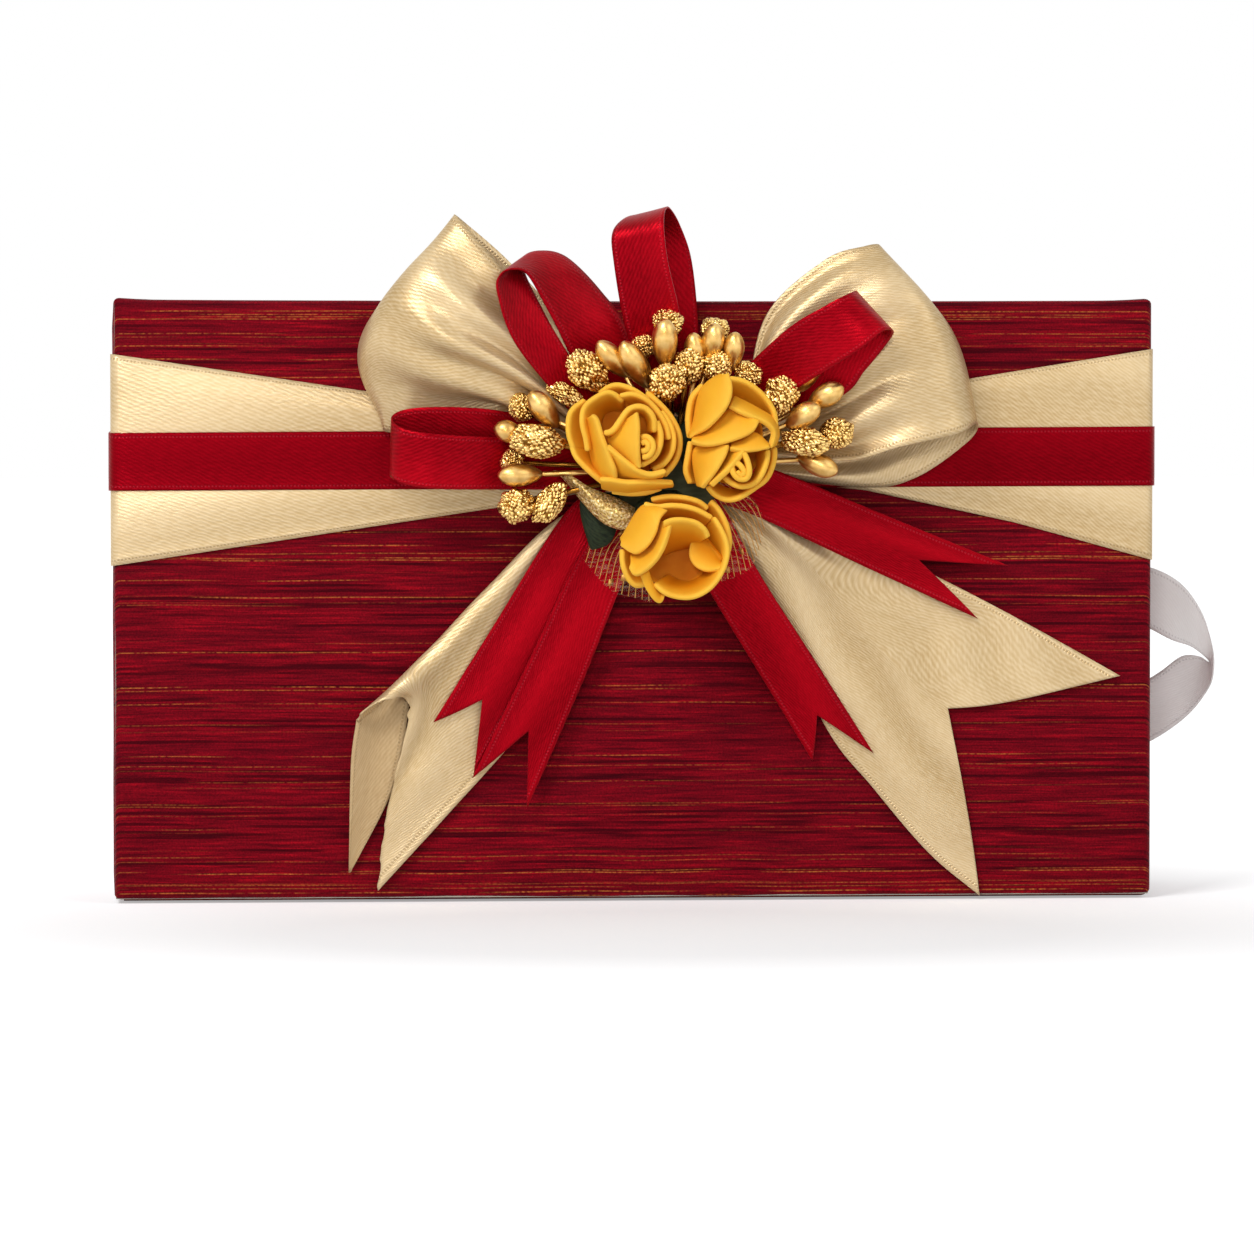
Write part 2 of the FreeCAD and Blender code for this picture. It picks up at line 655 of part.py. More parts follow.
def build_loops():
    gold = ("Sizes.gold_neck_height", "Sizes.gold_loop_length", "Sizes.gold_bend_radius")
    gold_form = ("Sizes.gold_neck_width", "Sizes.gold_width", 0.95)
    red = ("Sizes.red_neck_height", "Sizes.red_loop_length", "Sizes.red_bend_radius")
    red_form = ("Sizes.red_neck_width", "Sizes.red_width", 0.6)
    ribbon_loop("gold_loop_left", 152, 12, 8, *gold, *gold_form)
    ribbon_loop("gold_loop_right", 26.5, 12, 8, *gold, *gold_form)
    ribbon_loop("red_loop_left", 183, 5, 0, *red, *red_form)
    ribbon_loop("red_loop_upper_left", 121, 9, 0, *red, *red_form)
    ribbon_loop("red_loop_top", 88, 8, 0, *red, *red_form)
    ribbon_loop("red_loop_right", 38, 28, 0, *red, *red_form)


# Flower spray: a pad on the knot carries three roses, stamens round its upper rim, leaves and net below


def bow_frame():
    """The pad's face: its centre, with X along the front, Y up and Z out of the box."""
    out = float(sheet.evalExpression(f"{KNOT_FACE} - Sizes.knot_thickness"))
    point = FreeCAD.Vector(size("bow_offset"), out, size("bow_height"))
    return FreeCAD.Placement(point, FreeCAD.Rotation(FreeCAD.Vector(1, 0, 0), 90))


def build_pad():
    pad = doc.addObject("Part::Cylinder", "spray_pad")
    pad.setExpression("Radius", "Sizes.pad_radius")
    pad.setExpression("Height", "Sizes.pad_thickness")
    outward = "rotation(vector(1; 0; 0); 90)"
    lay(pad, "Sizes.bow_offset", f"{KNOT_FACE} - Sizes.knot_thickness", "Sizes.bow_height", outward)
    keep(pad, "spray_pad")


def shaped(label, solids, place):
    """A sub-part made of one or more solids, put in its place."""
    feature = doc.addObject("Part::Feature", label)
    feature.Shape = Part.makeCompound(solids)
    feature.Placement = place
    return keep(feature, label)


def faceted(section, sides, sweep=360):
    """A closed section of radius and height, carried round Z in flat facets."""
    def corner(point, step):
        turn = math.radians(sweep * step / sides)
        return FreeCAD.Vector(point[0] * math.cos(turn), point[0] * math.sin(turn), point[1])

    def flat(loop):
        return Part.Face(Part.makePolygon(loop + loop[:1]))

    faces = []
    for step in range(sides):
        for start, end in zip(section, section[1:] + section[:1]):
            loop = [corner(start, step), corner(end, step)]
            loop += [corner(p, step + 1) for p in (end, start) if p[0] > 0]
            if len(loop) > 2:
                faces.append(flat(loop))
    if sweep < 360:
        faces += [flat([corner(p, step) for p in section]) for step in (0, sides)]
    shell = Part.makeShell(faces)
    shell.sewShape()
    solid = Part.makeSolid(shell)
    if solid.Volume < 0:
        solid.reverse()
    return solid


def scroll_radius():
    step = size("scroll_step")
    return step * (SCROLL_HALF_TURNS + 1) + size("scroll_thickness")


def rose_scroll():
    """The rolled centre: one strip wound in half circles of growing radius."""
    step = size("scroll_step")
    thick = size("scroll_thickness")
    inner = []
    outer = []
    radius = step
    for half in range(SCROLL_HALF_TURNS):
        side = 1 if half % 2 == 0 else -1
        centre = 0 if side > 0 else step
        for edges, r in ((inner, radius), (outer, radius + thick)):
            ends = [FreeCAD.Vector(centre + side * r, 0, 0), FreeCAD.Vector(centre - side * r, 0, 0)]
            edges.append(Part.Arc(ends[0], FreeCAD.Vector(centre, side * r, 0), ends[1]).toShape())
        radius += step
    caps = [
        Part.makeLine(inner[0].Vertexes[0].Point, outer[0].Vertexes[0].Point),
        Part.makeLine(inner[-1].Vertexes[-1].Point, outer[-1].Vertexes[-1].Point),
    ]
    wire = Part.Wire(Part.__sortEdges__(inner + outer + caps))
    return Part.Face(wire).extrude(FreeCAD.Vector(0, 0, size("rose_height") * 0.95))


def rose_petal(index):
    """A cupped petal with cut-off shoulders, one of a spiral of growing radius."""
    share = index / (PETALS - 1)
    thick = size("petal_thickness")
    tall = size("rose_height") * (1 - OUTER_DROP * share)
    first = scroll_radius() + size("fit_gap") / 2
    foot = first + share * (size("calyx_radius") - thick - first)
    inner_rim = first + thick
    rim = inner_rim + share * (size("rose_radius") - thick - inner_rim)
    belly = foot + BELLY_SHARE * (rim - foot)
    wall = [(foot, 0), (belly, tall * 0.45), (rim, tall)]
    back = [(r + thick, z) for r, z in reversed(wall)]
    cup = faceted(wall + back, PETAL_FACETS, PETAL_SWEEP)
    cup.rotate(FreeCAD.Vector(), FreeCAD.Vector(0, 0, 1), -PETAL_SWEEP / 2)

    half = rim + 2 * thick
    crown = half * CROWN_SHARE
    shoulder = tall * SHOULDER_SHARE
    outline = [(-half, 0), (half, 0), (half, shoulder), (crown, tall), (-crown, tall), (-half, shoulder)]
    corners = [FreeCAD.Vector(0, y, z) for y, z in outline]
    shield = Part.Face(Part.makePolygon(corners + corners[:1])).extrude(FreeCAD.Vector(half, 0, 0))
    petal = cup.common(shield).Solids[0]
    petal.rotate(FreeCAD.Vector(), FreeCAD.Vector(0, 0, 1), index * PETAL_STEP)
    return petal


def build_rose(name, direction):
    """One rose on its stem, leaning away from the middle of the spray."""
    stem = size("stalk_radius") * 2
    stem_length = size("rose_stem")
    calyx = size("calyx_radius")
    thick = size("calyx_thickness")
    section = [(0, 0), (stem, 0), (stem, stem_length - thick), (calyx, stem_length)]
    section += [(calyx, stem_length + thick), (0, stem_length + thick)]
    seat = stem_length + thick
    lean = math.radians(ROSE_LEAN)
    foot = size("pad_thickness") + stem * math.sin(lean)
    out = size("rose_circle")
    angle = math.radians(direction)
    base = FreeCAD.Vector(out * math.cos(angle), out * math.sin(angle), foot)
    lean_axis = FreeCAD.Vector(-math.sin(angle), math.cos(angle), 0)
    stand = FreeCAD.Placement(base, FreeCAD.Rotation(lean_axis, ROSE_LEAN))
    place = bow_frame() * stand
    raised = place * FreeCAD.Placement(FreeCAD.Vector(0, 0, seat), FreeCAD.Rotation())
    shaped(f"{name}_calyx", [faceted(section, CALYX_SIDES)], place)
    shaped(f"{name}_centre", [rose_scroll()], raised)
    shaped(f"{name}_petals", [rose_petal(i) for i in range(PETALS)], raised)


def stamen(angle, ring, radius, length):
    """A stalk from the pad's rim with a bud on its end, one many-sided piece."""
    stalk = size("stalk_radius")
    root = size("pad_radius") + stalk
    rise = math.radians(STALK_RISE)
    reach = (ring - root) / math.cos(rise) - length / 2
    section = [
        (0, 0),
        (stalk, 0),
        (stalk, reach),
        (radius * 0.75, reach + length * 0.18),
        (radius, reach + length * 0.45),
        (radius * 0.72, reach + length * 0.8),
        (0, reach + length),
    ]
    solid = faceted(section, BUD_SIDES)
    turn = math.radians(angle)
    foot = FreeCAD.Vector(root * math.cos(turn), root * math.sin(turn), size("pad_thickness") / 2)
    heading = FreeCAD.Vector(
        math.cos(rise) * math.cos(turn), math.cos(rise) * math.sin(turn), math.sin(rise)
    )
    solid.Placement = FreeCAD.Placement(foot, FreeCAD.Rotation(FreeCAD.Vector(0, 0, 1), heading))
    return solid


def build_stamens():
    bud = (size("bud_radius"), size("bud_length"))
    berry = (size("berry_radius"), size("berry_length"))
    bunches = {"left": (152, 196, 8), "top": (60, 128, 12), "right": (-10, 21, 6)}
    for bunch, (start, end, count) in bunches.items():
        buds = []
        berries = []
        for i in range(count):
            angle = start + (end - start) * i / (count - 1)
            if i % 2 == 0:
                buds.append(stamen(angle, size("near_ring"), *bud))
            else:
                berries.append(stamen(angle, size("far_ring"), *berry))
        shaped(f"smooth_buds_{bunch}", buds, bow_frame())
        shaped(f"beaded_berries_{bunch}", berries, bow_frame())


def leaf(direction, root, length, width, level):
    """A pointed leaf of two arcs, rooted at a distance from the middle of the pad."""
    half = width / 2
    foot = FreeCAD.Vector(0, 0, 0)
    tip = FreeCAD.Vector(length, 0, 0)
    sides = [Part.Arc(foot, FreeCAD.Vector(length * 0.5, side * half, 0), tip).toShape() for side in (1, -1)]
    blade = Part.Face(Part.Wire(sides)).extrude(FreeCAD.Vector(0, 0, size("foil_thickness")))
    turn = FreeCAD.Rotation(FreeCAD.Vector(0, 0, 1), direction)
    start = turn.multVec(FreeCAD.Vector(root, 0, level))
    blade.Placement = FreeCAD.Placement(start, turn)
    return blade


def net(direction, level):
    """A scrap of open net, square holes in a thin sheet."""
    length = size("net_length")
    width = size("net_width")
    pitch = size("net_pitch")
    thread = size("net_thread")
    rows = int((length - thread) / pitch)
    columns = int((width - thread) / pitch)
    start = size("pad_radius") + size("fit_gap") / 2
    sheet_face = Part.makePlane(length, width, FreeCAD.Vector(start, -width / 2, level))
    holes = []
    for row in range(rows):
        for column in range(columns):
            x = start + thread + row * pitch
            y = (column - columns / 2) * pitch + thread / 2
            hole = Part.makePlane(pitch - thread, pitch - thread, FreeCAD.Vector(x, y, level))
            holes.append(hole.OuterWire)
    face = Part.Face([sheet_face.OuterWire] + holes, "Part::FaceMakerBullseye")
    solid = face.extrude(FreeCAD.Vector(0, 0, size("foil_thickness")))
    solid.rotate(FreeCAD.Vector(), FreeCAD.Vector(0, 0, 1), direction)
    return solid


def build_spray():
    build_pad()
    for name, direction in (("rose_left", 147), ("rose_right", 33), ("rose_lower", 268)):
        build_rose(name, direction)
    build_stamens()
    low = size("fit_gap")
    middle = size("pad_thickness") / 2
    length = size("leaf_length")
    width = size("leaf_width")
    rim = size("pad_radius") + size("fit_gap") / 2
    small = size("pad_radius") * 0.8
    green = [leaf(222, rim, length, width, middle), leaf(90, 0, small, small / 2, size("pad_thickness"))]
    shaped("green_leaves", green, bow_frame())
    above_net = low + 2 * size("foil_thickness")
    shaped("gold_leaf", [leaf(208, rim, length, width * 0.8, above_net)], bow_frame())
    shaped("net_lower_left", [net(248, low)], bow_frame())
    shaped("net_right", [net(320, low)], bow_frame())


def main():
    build_sleeve()
    build_cloth()
    build_tray()
    build_pull_ribbon()
    build_bands()
    build_knot()
    build_tails()
    build_loops()
    build_spray()
    doc.recompute()
    for item in doc.Objects:
        if "Invalid" in item.State or "Error" in item.State:
            raise RuntimeError(f"{item.Label} failed to compute")
    for piece in pieces:
        if piece.Shape.isNull() or not piece.Shape.isValid():
            raise RuntimeError(f"{piece.Label} is not a sound solid")
    os.makedirs("parts", exist_ok=True)
    for piece in pieces:
        piece.Shape.exportStep(f"parts/{piece.Label}.step")
    print(len(pieces), "sub-parts")


main()
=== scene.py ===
import math
import random

import bmesh
import bpy
from mathutils import Matrix, Vector, kdtree, noise


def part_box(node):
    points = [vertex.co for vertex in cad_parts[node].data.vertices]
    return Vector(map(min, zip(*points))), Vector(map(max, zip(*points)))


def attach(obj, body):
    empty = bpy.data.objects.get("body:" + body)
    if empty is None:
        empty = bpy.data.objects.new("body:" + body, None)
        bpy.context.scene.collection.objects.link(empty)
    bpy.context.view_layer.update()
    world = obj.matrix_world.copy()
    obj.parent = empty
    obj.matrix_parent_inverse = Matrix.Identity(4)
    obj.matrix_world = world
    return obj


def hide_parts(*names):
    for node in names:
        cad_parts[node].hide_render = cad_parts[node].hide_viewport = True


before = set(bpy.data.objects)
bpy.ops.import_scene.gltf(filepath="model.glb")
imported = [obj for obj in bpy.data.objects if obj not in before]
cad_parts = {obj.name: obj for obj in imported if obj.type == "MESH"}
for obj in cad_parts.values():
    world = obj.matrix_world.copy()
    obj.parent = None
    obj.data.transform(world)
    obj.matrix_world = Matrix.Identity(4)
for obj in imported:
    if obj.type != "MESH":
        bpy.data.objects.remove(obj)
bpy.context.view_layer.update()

MM = 0.001
random.seed(7)

# Main sizes, in millimetres, worked out from the frame

COVER_LOW, COVER_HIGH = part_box("cover_cloth")
FRONT = COVER_LOW.y / MM
BACK = COVER_HIGH.y / MM
RIGHT = COVER_HIGH.x / MM
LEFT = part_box("end_cloth")[0].x / MM
TOP = COVER_HIGH.z / MM
SHELL = 3.0
TURN_IN = 12.0
EDGE_ROUND = 1.2
GOLD_WIDTH = 41.5
RED_WIDTH = 12.0
PULL_WIDTH = 12.0
RIBBON_THICK = 0.32
SILK_THICK = 0.35
SPRAY = Vector((7.0, 0.0, 84.8))
PAD_OUT = 12.0
COVER_FOOT = 0.4
ON_FRONT = FRONT * MM * 0.98


def spot(x, z, out):
    """A point in front of the box: millimetres along, up, and out from the front face."""
    return Vector((x, FRONT - out, z)) * MM


def through(points, share):
    """The point at a share of the way along a smooth curve through the points."""
    last = len(points) - 1
    if last == 1:
        return points[0].lerp(points[1], share)
    place = min(max(share, 0.0), 1.0) * last
    i = min(int(place), last - 1)
    t = place - i
    p1, p2 = points[i], points[i + 1]
    p0 = points[i - 1] if i else p1 * 2 - p2
    p3 = points[i + 2] if i + 2 <= last else p2 * 2 - p1
    bend = (p1 * 3 - p0 - p2 * 3 + p3) * t ** 3
    return 0.5 * (p1 * 2 + (p2 - p0) * t + (p0 * 2 - p1 * 5 + p2 * 4 - p3) * t * t + bend)


def patch(stations, along, across):
    """A point on the surface through stations that each run from edge to edge."""
    return through([through(row, across) for row in stations], along)


def level(table, x):
    """A value read from a short table of (place, value) by straight lines."""
    if x <= table[0][0]:
        return table[0][1]
    for (x0, v0), (x1, v1) in zip(table, table[1:]):
        if x <= x1:
            return v0 + (v1 - v0) * (x - x0) / (x1 - x0)
    return table[-1][1]


def smooth(low, high, x):
    """A soft step from 0 at low to 1 at high."""
    t = min(max((x - low) / (high - low), 0.0), 1.0)
    return t * t * (3 - 2 * t)


def wobble(point, size, amount):
    """A small uneven displacement with lumps of a given size, both in millimetres."""
    return amount * MM * noise.noise(point / (size * MM))


# Finishes

def srgb(red, green, blue):
    """A colour as the eye reads it on a screen, turned to the renderer's straight scale."""
    def straight(c):
        c = c / 255
        return c / 12.92 if c <= 0.04045 else ((c + 0.055) / 1.055) ** 2.4
    return (straight(red), straight(green), straight(blue), 1.0)


class Finish:
    """One procedural material and the few kinds of node that make it."""

    def __init__(self, name, **sockets):
        self.material = bpy.data.materials.new(name)
        self.material.use_nodes = True
        self.tree = self.material.node_tree
        self.shader = self.tree.nodes["Principled BSDF"]
        self.set(**sockets)

    def set(self, **sockets):
        for key, value in sockets.items():
            self.feed(self.shader, key.replace("_", " ").title().replace("Ior", "IOR"), value)

    def feed(self, node, key, value):
        socket = node.inputs[key]
        if isinstance(value, bpy.types.NodeSocket):
            self.tree.links.new(value, socket)
        else:
            socket.default_value = value

    def add(self, kind, inputs, **settings):
        node = self.tree.nodes.new(kind)
        for key, value in settings.items():
            setattr(node, key, value)
        for key, value in inputs.items():
            self.feed(node, key, value)
        return node

    def place(self, scale, turn=(0, 0, 0), source="Object"):
        """Coordinates in millimetres, stretched and turned."""
        if source == "Object":
            start = self.add("ShaderNodeTexCoord", {}).outputs["Object"]
            scale = [s / MM for s in scale]
        else:
            start = self.add("ShaderNodeUVMap", {}, uv_map=source).outputs[0]
        inputs = {"Vector": start, "Scale": scale, "Rotation": turn}
        return self.add("ShaderNodeMapping", inputs).outputs[0]

    def noise(self, vector, detail=2.0, rough=0.5):
        inputs = {"Vector": vector, "Scale": 1.0, "Detail": detail, "Roughness": rough}
        return self.add("ShaderNodeTexNoise", inputs).outputs[0]

    def cells(self, vector):
        return self.add("ShaderNodeTexVoronoi", {"Vector": vector, "Scale": 1.0}).outputs["Distance"]

    def wave(self, vector, scale, distortion=0.0):
        inputs = {"Vector": vector, "Scale": scale, "Distortion": distortion}
        inputs.update({"Detail": 2.0, "Detail Scale": 1.0})
        return self.add("ShaderNodeTexWave", inputs).outputs["Fac"]

    def ramp(self, factor, *stops):
        node = self.add("ShaderNodeValToRGB", {"Fac": factor})
        places = node.color_ramp.elements
        while len(places) < len(stops):
            places.new(0.5)
        for element, (place, colour) in zip(places, stops):
            element.position = place
            element.color = colour
        return node.outputs[0]

    def grade(self, factor, low, high):
        """A grey from 0 at low to 1 at high."""
        inputs = {"Value": factor, "From Min": low, "From Max": high}
        return self.add("ShaderNodeMapRange", inputs).outputs[0]

    def mix(self, factor, first, second):
        node = self.add("ShaderNodeMix", {}, data_type="RGBA")
        for index, value in ((0, factor), (6, first), (7, second)):
            self.feed(node, index, value)
        return node.outputs[2]

    def sum(self, action, first, second):
        """A sum of two numbers or sockets: add, multiply, divide and the like."""
        node = self.add("ShaderNodeMath", {0: first, 1: second}, operation=action)
        return node.outputs[0]

    def times(self, first, second):
        return self.sum("MULTIPLY", first, second)

    def weigh(self, first, weight, second, other_weight):
        """Two tones or heights added up by their weights."""
        return self.sum("ADD", self.times(first, weight), self.times(second, other_weight))

    def bump(self, height, strength, depth):
        inputs = {"Height": height, "Strength": strength, "Distance": depth * MM}
        return self.add("ShaderNodeBump", inputs).outputs[0]

    def attribute(self, name):
        return self.add("ShaderNodeAttribute", {}, attribute_name=name).outputs["Fac"]


def slub_silk(name, along):
    """Slub silk: maroon rows of thread, brighter and darker slubs, and fine broken gilt threads."""
    silk = Finish(name, roughness=0.55, specular_ior_level=0.2, specular_tint=srgb(255, 90, 100))
    parts = silk.add("ShaderNodeSeparateXYZ", {0: silk.place((1, 1, 1))}).outputs
    run = parts[along]
    rise = silk.sum("ADD", parts[1 - along], parts[2])

    def rows(pitch, shift):
        """The number of each row of thread, and a chance value that belongs to it."""
        row = silk.sum("FLOOR", silk.sum("ADD", silk.sum("DIVIDE", rise, pitch), shift), 0.0)
        chance = silk.add("ShaderNodeTexWhiteNoise", {"W": row}, noise_dimensions="1D").outputs["Value"]
        return row, chance

    def threads(row, length, apart):
        """A place that runs along a row and is new in every row."""
        inputs = {0: silk.sum("DIVIDE", run, length), 1: silk.times(row, apart)}
        return silk.add("ShaderNodeCombineXYZ", inputs).outputs[0]

    def slubs(length, thickness):
        """A place stretched along the rows, for slubs of a given length and thickness."""
        inputs = {0: silk.sum("DIVIDE", run, length), 1: silk.sum("DIVIDE", rise, thickness)}
        return silk.add("ShaderNodeCombineXYZ", inputs).outputs[0]

    fine, fine_chance = rows(0.22, 0.0)
    thick, thick_chance = rows(0.52, 0.37)
    patches = silk.noise(slubs(13, 0.55), detail=3.0, rough=0.55)
    strand = silk.noise(threads(fine, 8, 7.31), detail=2.0)
    tone = silk.weigh(patches, 0.55, strand, 0.45)
    colour = silk.ramp(
        tone,
        (0.36, srgb(82, 5, 17)),
        (0.48, srgb(119, 8, 23)),
        (0.56, srgb(142, 10, 27)),
        (0.68, srgb(182, 15, 31)),
    )
    broad = silk.grade(silk.noise(slubs(90, 7), detail=2.0), 0.40, 0.64)
    colour = silk.mix(silk.times(broad, 0.35), colour, srgb(82, 5, 20))
    dark = silk.grade(silk.noise(threads(thick, 26, 3.17), detail=1.0), 0.44, 0.54)
    dark = silk.times(dark, silk.grade(thick_chance, 0.26, 0.20))
    colour = silk.mix(silk.times(dark, 0.75), colour, srgb(38, 2, 9))
    gilt = silk.grade(silk.noise(threads(fine, 28, 5.71), detail=1.0), 0.44, 0.54)
    beads = silk.grade(silk.noise(threads(fine, 0.7, 1.93), detail=0.0), 0.20, 0.62)
    gilt = silk.times(silk.times(gilt, beads), silk.grade(fine_chance, 0.86, 0.98))
    colour = silk.mix(silk.times(gilt, 0.75), colour, srgb(204, 116, 54))
    grain = silk.noise(silk.place((2.6, 2.6, 2.6)), detail=1.0)
    colour = silk.mix(silk.grade(grain, 0.70, 0.34), colour, silk.mix(0.4, colour, srgb(24, 2, 8)))
    silk.set(base_color=colour)
    silk.set(normal=silk.bump(silk.weigh(tone, 1.6, grain, 0.8), 0.6, 0.2))
    return silk.material


def satin(name, painted_shade, body, painted_highlight, stitch, gloss, seam, shine=0.5, roughness=0.36, fuzz=0.06, metal=0.0):
    """Satin ribbon: short slanting floats and a stitched line inside each edge, with painted light: a
    lengthwise lustre painted into the colour as highlight and shade, and floats painted lighter as small
    highlights.
    """
    cloth = Finish(name, roughness=roughness, specular_ior_level=shine, specular_tint=gloss)
    cloth.set(sheen_weight=fuzz, sheen_roughness=0.4, sheen_tint=painted_highlight, metallic=metal)
    twill = cloth.wave(cloth.place((1, 1, 1), (0, 0, math.radians(62)), "weave"), 0.46, 3.2)
    floats = cloth.noise(cloth.place((0.5, 1.7, 1), (0, 0, math.radians(16)), "weave"), detail=1.0)
    thread = cloth.weigh(twill, 0.3, floats, 0.7)
    lustre = cloth.noise(cloth.place((0.016, 0.075, 1), source="weave"), detail=0.0)
    # Painted sheen: the lengthwise lustre mixes the colour between a painted shade tone and the body colour.
    colour = cloth.mix(cloth.grade(lustre, 0.30, 0.66), painted_shade, body)
    # Painted highlight: the floats are mixed towards a lighter highlight colour.
    colour = cloth.mix(cloth.times(cloth.grade(thread, 0.30, 0.75), 0.42), colour, painted_highlight)
    edge = cloth.attribute("edge")
    near = cloth.grade(edge, 1.15, 0.95)
    far = cloth.grade(edge, 0.60, 0.80)
    dots = cloth.wave(cloth.place((1, 0, 0), source="weave"), 0.45)
    line = cloth.times(cloth.times(near, far), cloth.grade(dots, 0.3, 0.7))
    colour = cloth.mix(cloth.times(line, seam), colour, stitch)
    cloth.set(base_color=colour)
    height = cloth.sum("ADD", cloth.weigh(thread, 0.5, line, -0.6), cloth.times(lustre, 14.0))
    cloth.set(normal=cloth.bump(height, 0.6, 0.2))
    return cloth.material


def rose_foam():
    """Soft yellow foam, with painted shade that deepens its colour towards the foot of each petal and on the
    bowl under the petals.
    """
    foam = Finish("rose_foam", roughness=0.55, specular_ior_level=0.3, subsurface_weight=0.10)
    foam.set(subsurface_radius=(0.0020, 0.0010, 0.0004), subsurface_scale=1.0)
    foam.set(specular_tint=srgb(255, 220, 150))
    # Painted shade: the depth attribute runs from the shaded foot, in deep orange, to the lit rim, in pale
    # yellow.
    colour = foam.ramp(
        foam.attribute("depth"),
        (0.0, srgb(172, 86, 2)),
        (0.4, srgb(220, 136, 14)),
        (0.8, srgb(240, 176, 46)),
        (1.0, srgb(247, 192, 68)),
    )
    cloudy = foam.noise(foam.place((0.25, 0.25, 0.25)), detail=3.0)
    colour = foam.mix(foam.grade(cloudy, 0.35, 0.75), colour, foam.mix(0.3, colour, srgb(228, 150, 34)))
    foam.set(base_color=colour)
    grain = foam.noise(foam.place((5, 5, 5)), detail=3.0)
    foam.set(normal=foam.bump(grain, 0.12, 0.06))
    return foam.material


def metal_gold(name, low, high, roughness, lumps, strength, metal=1.0, pit_shade=False):
    """Gold paint or gilt: cloudy metal; on berries, painted shade darkens the hollows between beads instead.
    """
    gold = Finish(name, metallic=metal, specular_ior_level=0.5)
    cloudy = gold.noise(gold.place((0.6, 0.6, 0.6)), detail=3.0)
    # Painted shade: on berries the tone follows each bead's height, darker in the hollows between beads.
    tone = gold.grade(gold.attribute("depth"), 0.1, 0.9) if pit_shade else gold.grade(cloudy, 0.3, 0.72)
    gold.set(base_color=gold.mix(tone, low, high))
    grain = gold.noise(gold.place((lumps, lumps, lumps)), detail=2.0)
    gold.set(roughness=gold.sum("ADD", gold.times(grain, 0.2), roughness))
    gold.set(normal=gold.bump(grain, strength, 0.12))
    return gold.material


def leaf_cloth(name, source):
    """Dark green cloth with a faint weave."""
    leaf = Finish(name, roughness=0.6, specular_ior_level=0.15)
    weave = leaf.noise(leaf.place((2.5, 0.6, 0.6), source=source), detail=2.0)
    leaf.set(base_color=leaf.ramp(weave, (0.3, srgb(18, 26, 16)), (0.7, srgb(50, 60, 38))))
    leaf.set(normal=leaf.bump(weave, 0.4, 0.1))
    return leaf.material


def glitter_foil():
    """Pale gold foil broken into glittering flakes."""
    foil = Finish("glitter_foil", metallic=0.6)
    flakes = foil.cells(foil.place((1.4, 1.4, 1.4)))
    tone = foil.noise(foil.place((2.2, 2.2, 2.2)), detail=2.0)
    colour = foil.ramp(
        tone,
        (0.3, srgb(150, 116, 50)),
        (0.5, srgb(226, 192, 112)),
        (0.68, srgb(255, 242, 196)),
    )
    foil.set(base_color=colour)
    foil.set(roughness=foil.grade(flakes, -0.1, 1.2))
    foil.set(normal=foil.bump(flakes, 0.9, 0.25))
    return foil.material


def clear_film():
    """Thin film, almost clear, with a warm gold cast."""
    film = Finish("clear_film", roughness=0.12, specular_ior_level=0.7)
    streaks = film.noise(film.place((0.5, 0.5, 3.0)), detail=2.0)
    film.set(base_color=film.ramp(streaks, (0.3, srgb(214, 184, 122)), (0.7, srgb(252, 240, 206))))
    film.set(alpha=film.grade(streaks, 0.45, 4.0))
    film.set(normal=film.bump(streaks, 0.5, 0.2))
    return film.material


def plain_board(name, low, high, fleck):
    """Paper or board: faint fibres over a pale ground."""
    board = Finish(name, roughness=0.85, specular_ior_level=0.2)
    fibres = board.noise(board.place((0.35, 1.6, 1.6)), detail=4.0)
    specks = board.noise(board.place((2.4, 2.4, 2.4)), detail=1.0)
    colour = board.mix(board.grade(fibres, 0.3, 0.7), low, high)
    colour = board.mix(board.times(board.grade(specks, 0.66, 0.74), 0.5), colour, fleck)
    board.set(base_color=colour, normal=board.bump(fibres, 0.25, 0.1))
    return board.material


SILK = slub_silk("slub_silk", 0)
SILK_END = slub_silk("slub_silk_end", 1)
GOLD = satin(
    "gold_satin", painted_shade=srgb(184, 153, 104), body=srgb(212, 184, 139), painted_highlight=srgb(240, 221, 184),
    stitch=srgb(146, 112, 64), gloss=srgb(255, 240, 208), seam=0.5, roughness=0.34, fuzz=0.04, metal=0.34,
)
# The flap shows the ribbon's back, which is duller and rougher as the back of satin is. Its colours are also
# painted a little darker as shade, because the flap lies half under the tail.
GOLD_REVERSE_SHADED = satin(
    "gold_satin_reverse_shaded", painted_shade=srgb(182, 150, 106), body=srgb(204, 174, 130), painted_highlight=srgb(222, 196, 154),
    stitch=srgb(128, 98, 58), gloss=srgb(255, 240, 205), seam=0.3, shine=0.3, roughness=0.6,
)
RED = satin(
    "red_satin", painted_shade=srgb(92, 1, 9), body=srgb(118, 2, 14), painted_highlight=srgb(152, 5, 22),
    stitch=srgb(196, 60, 76), gloss=srgb(255, 36, 48), seam=0.2, fuzz=0.02, metal=0.35,
)
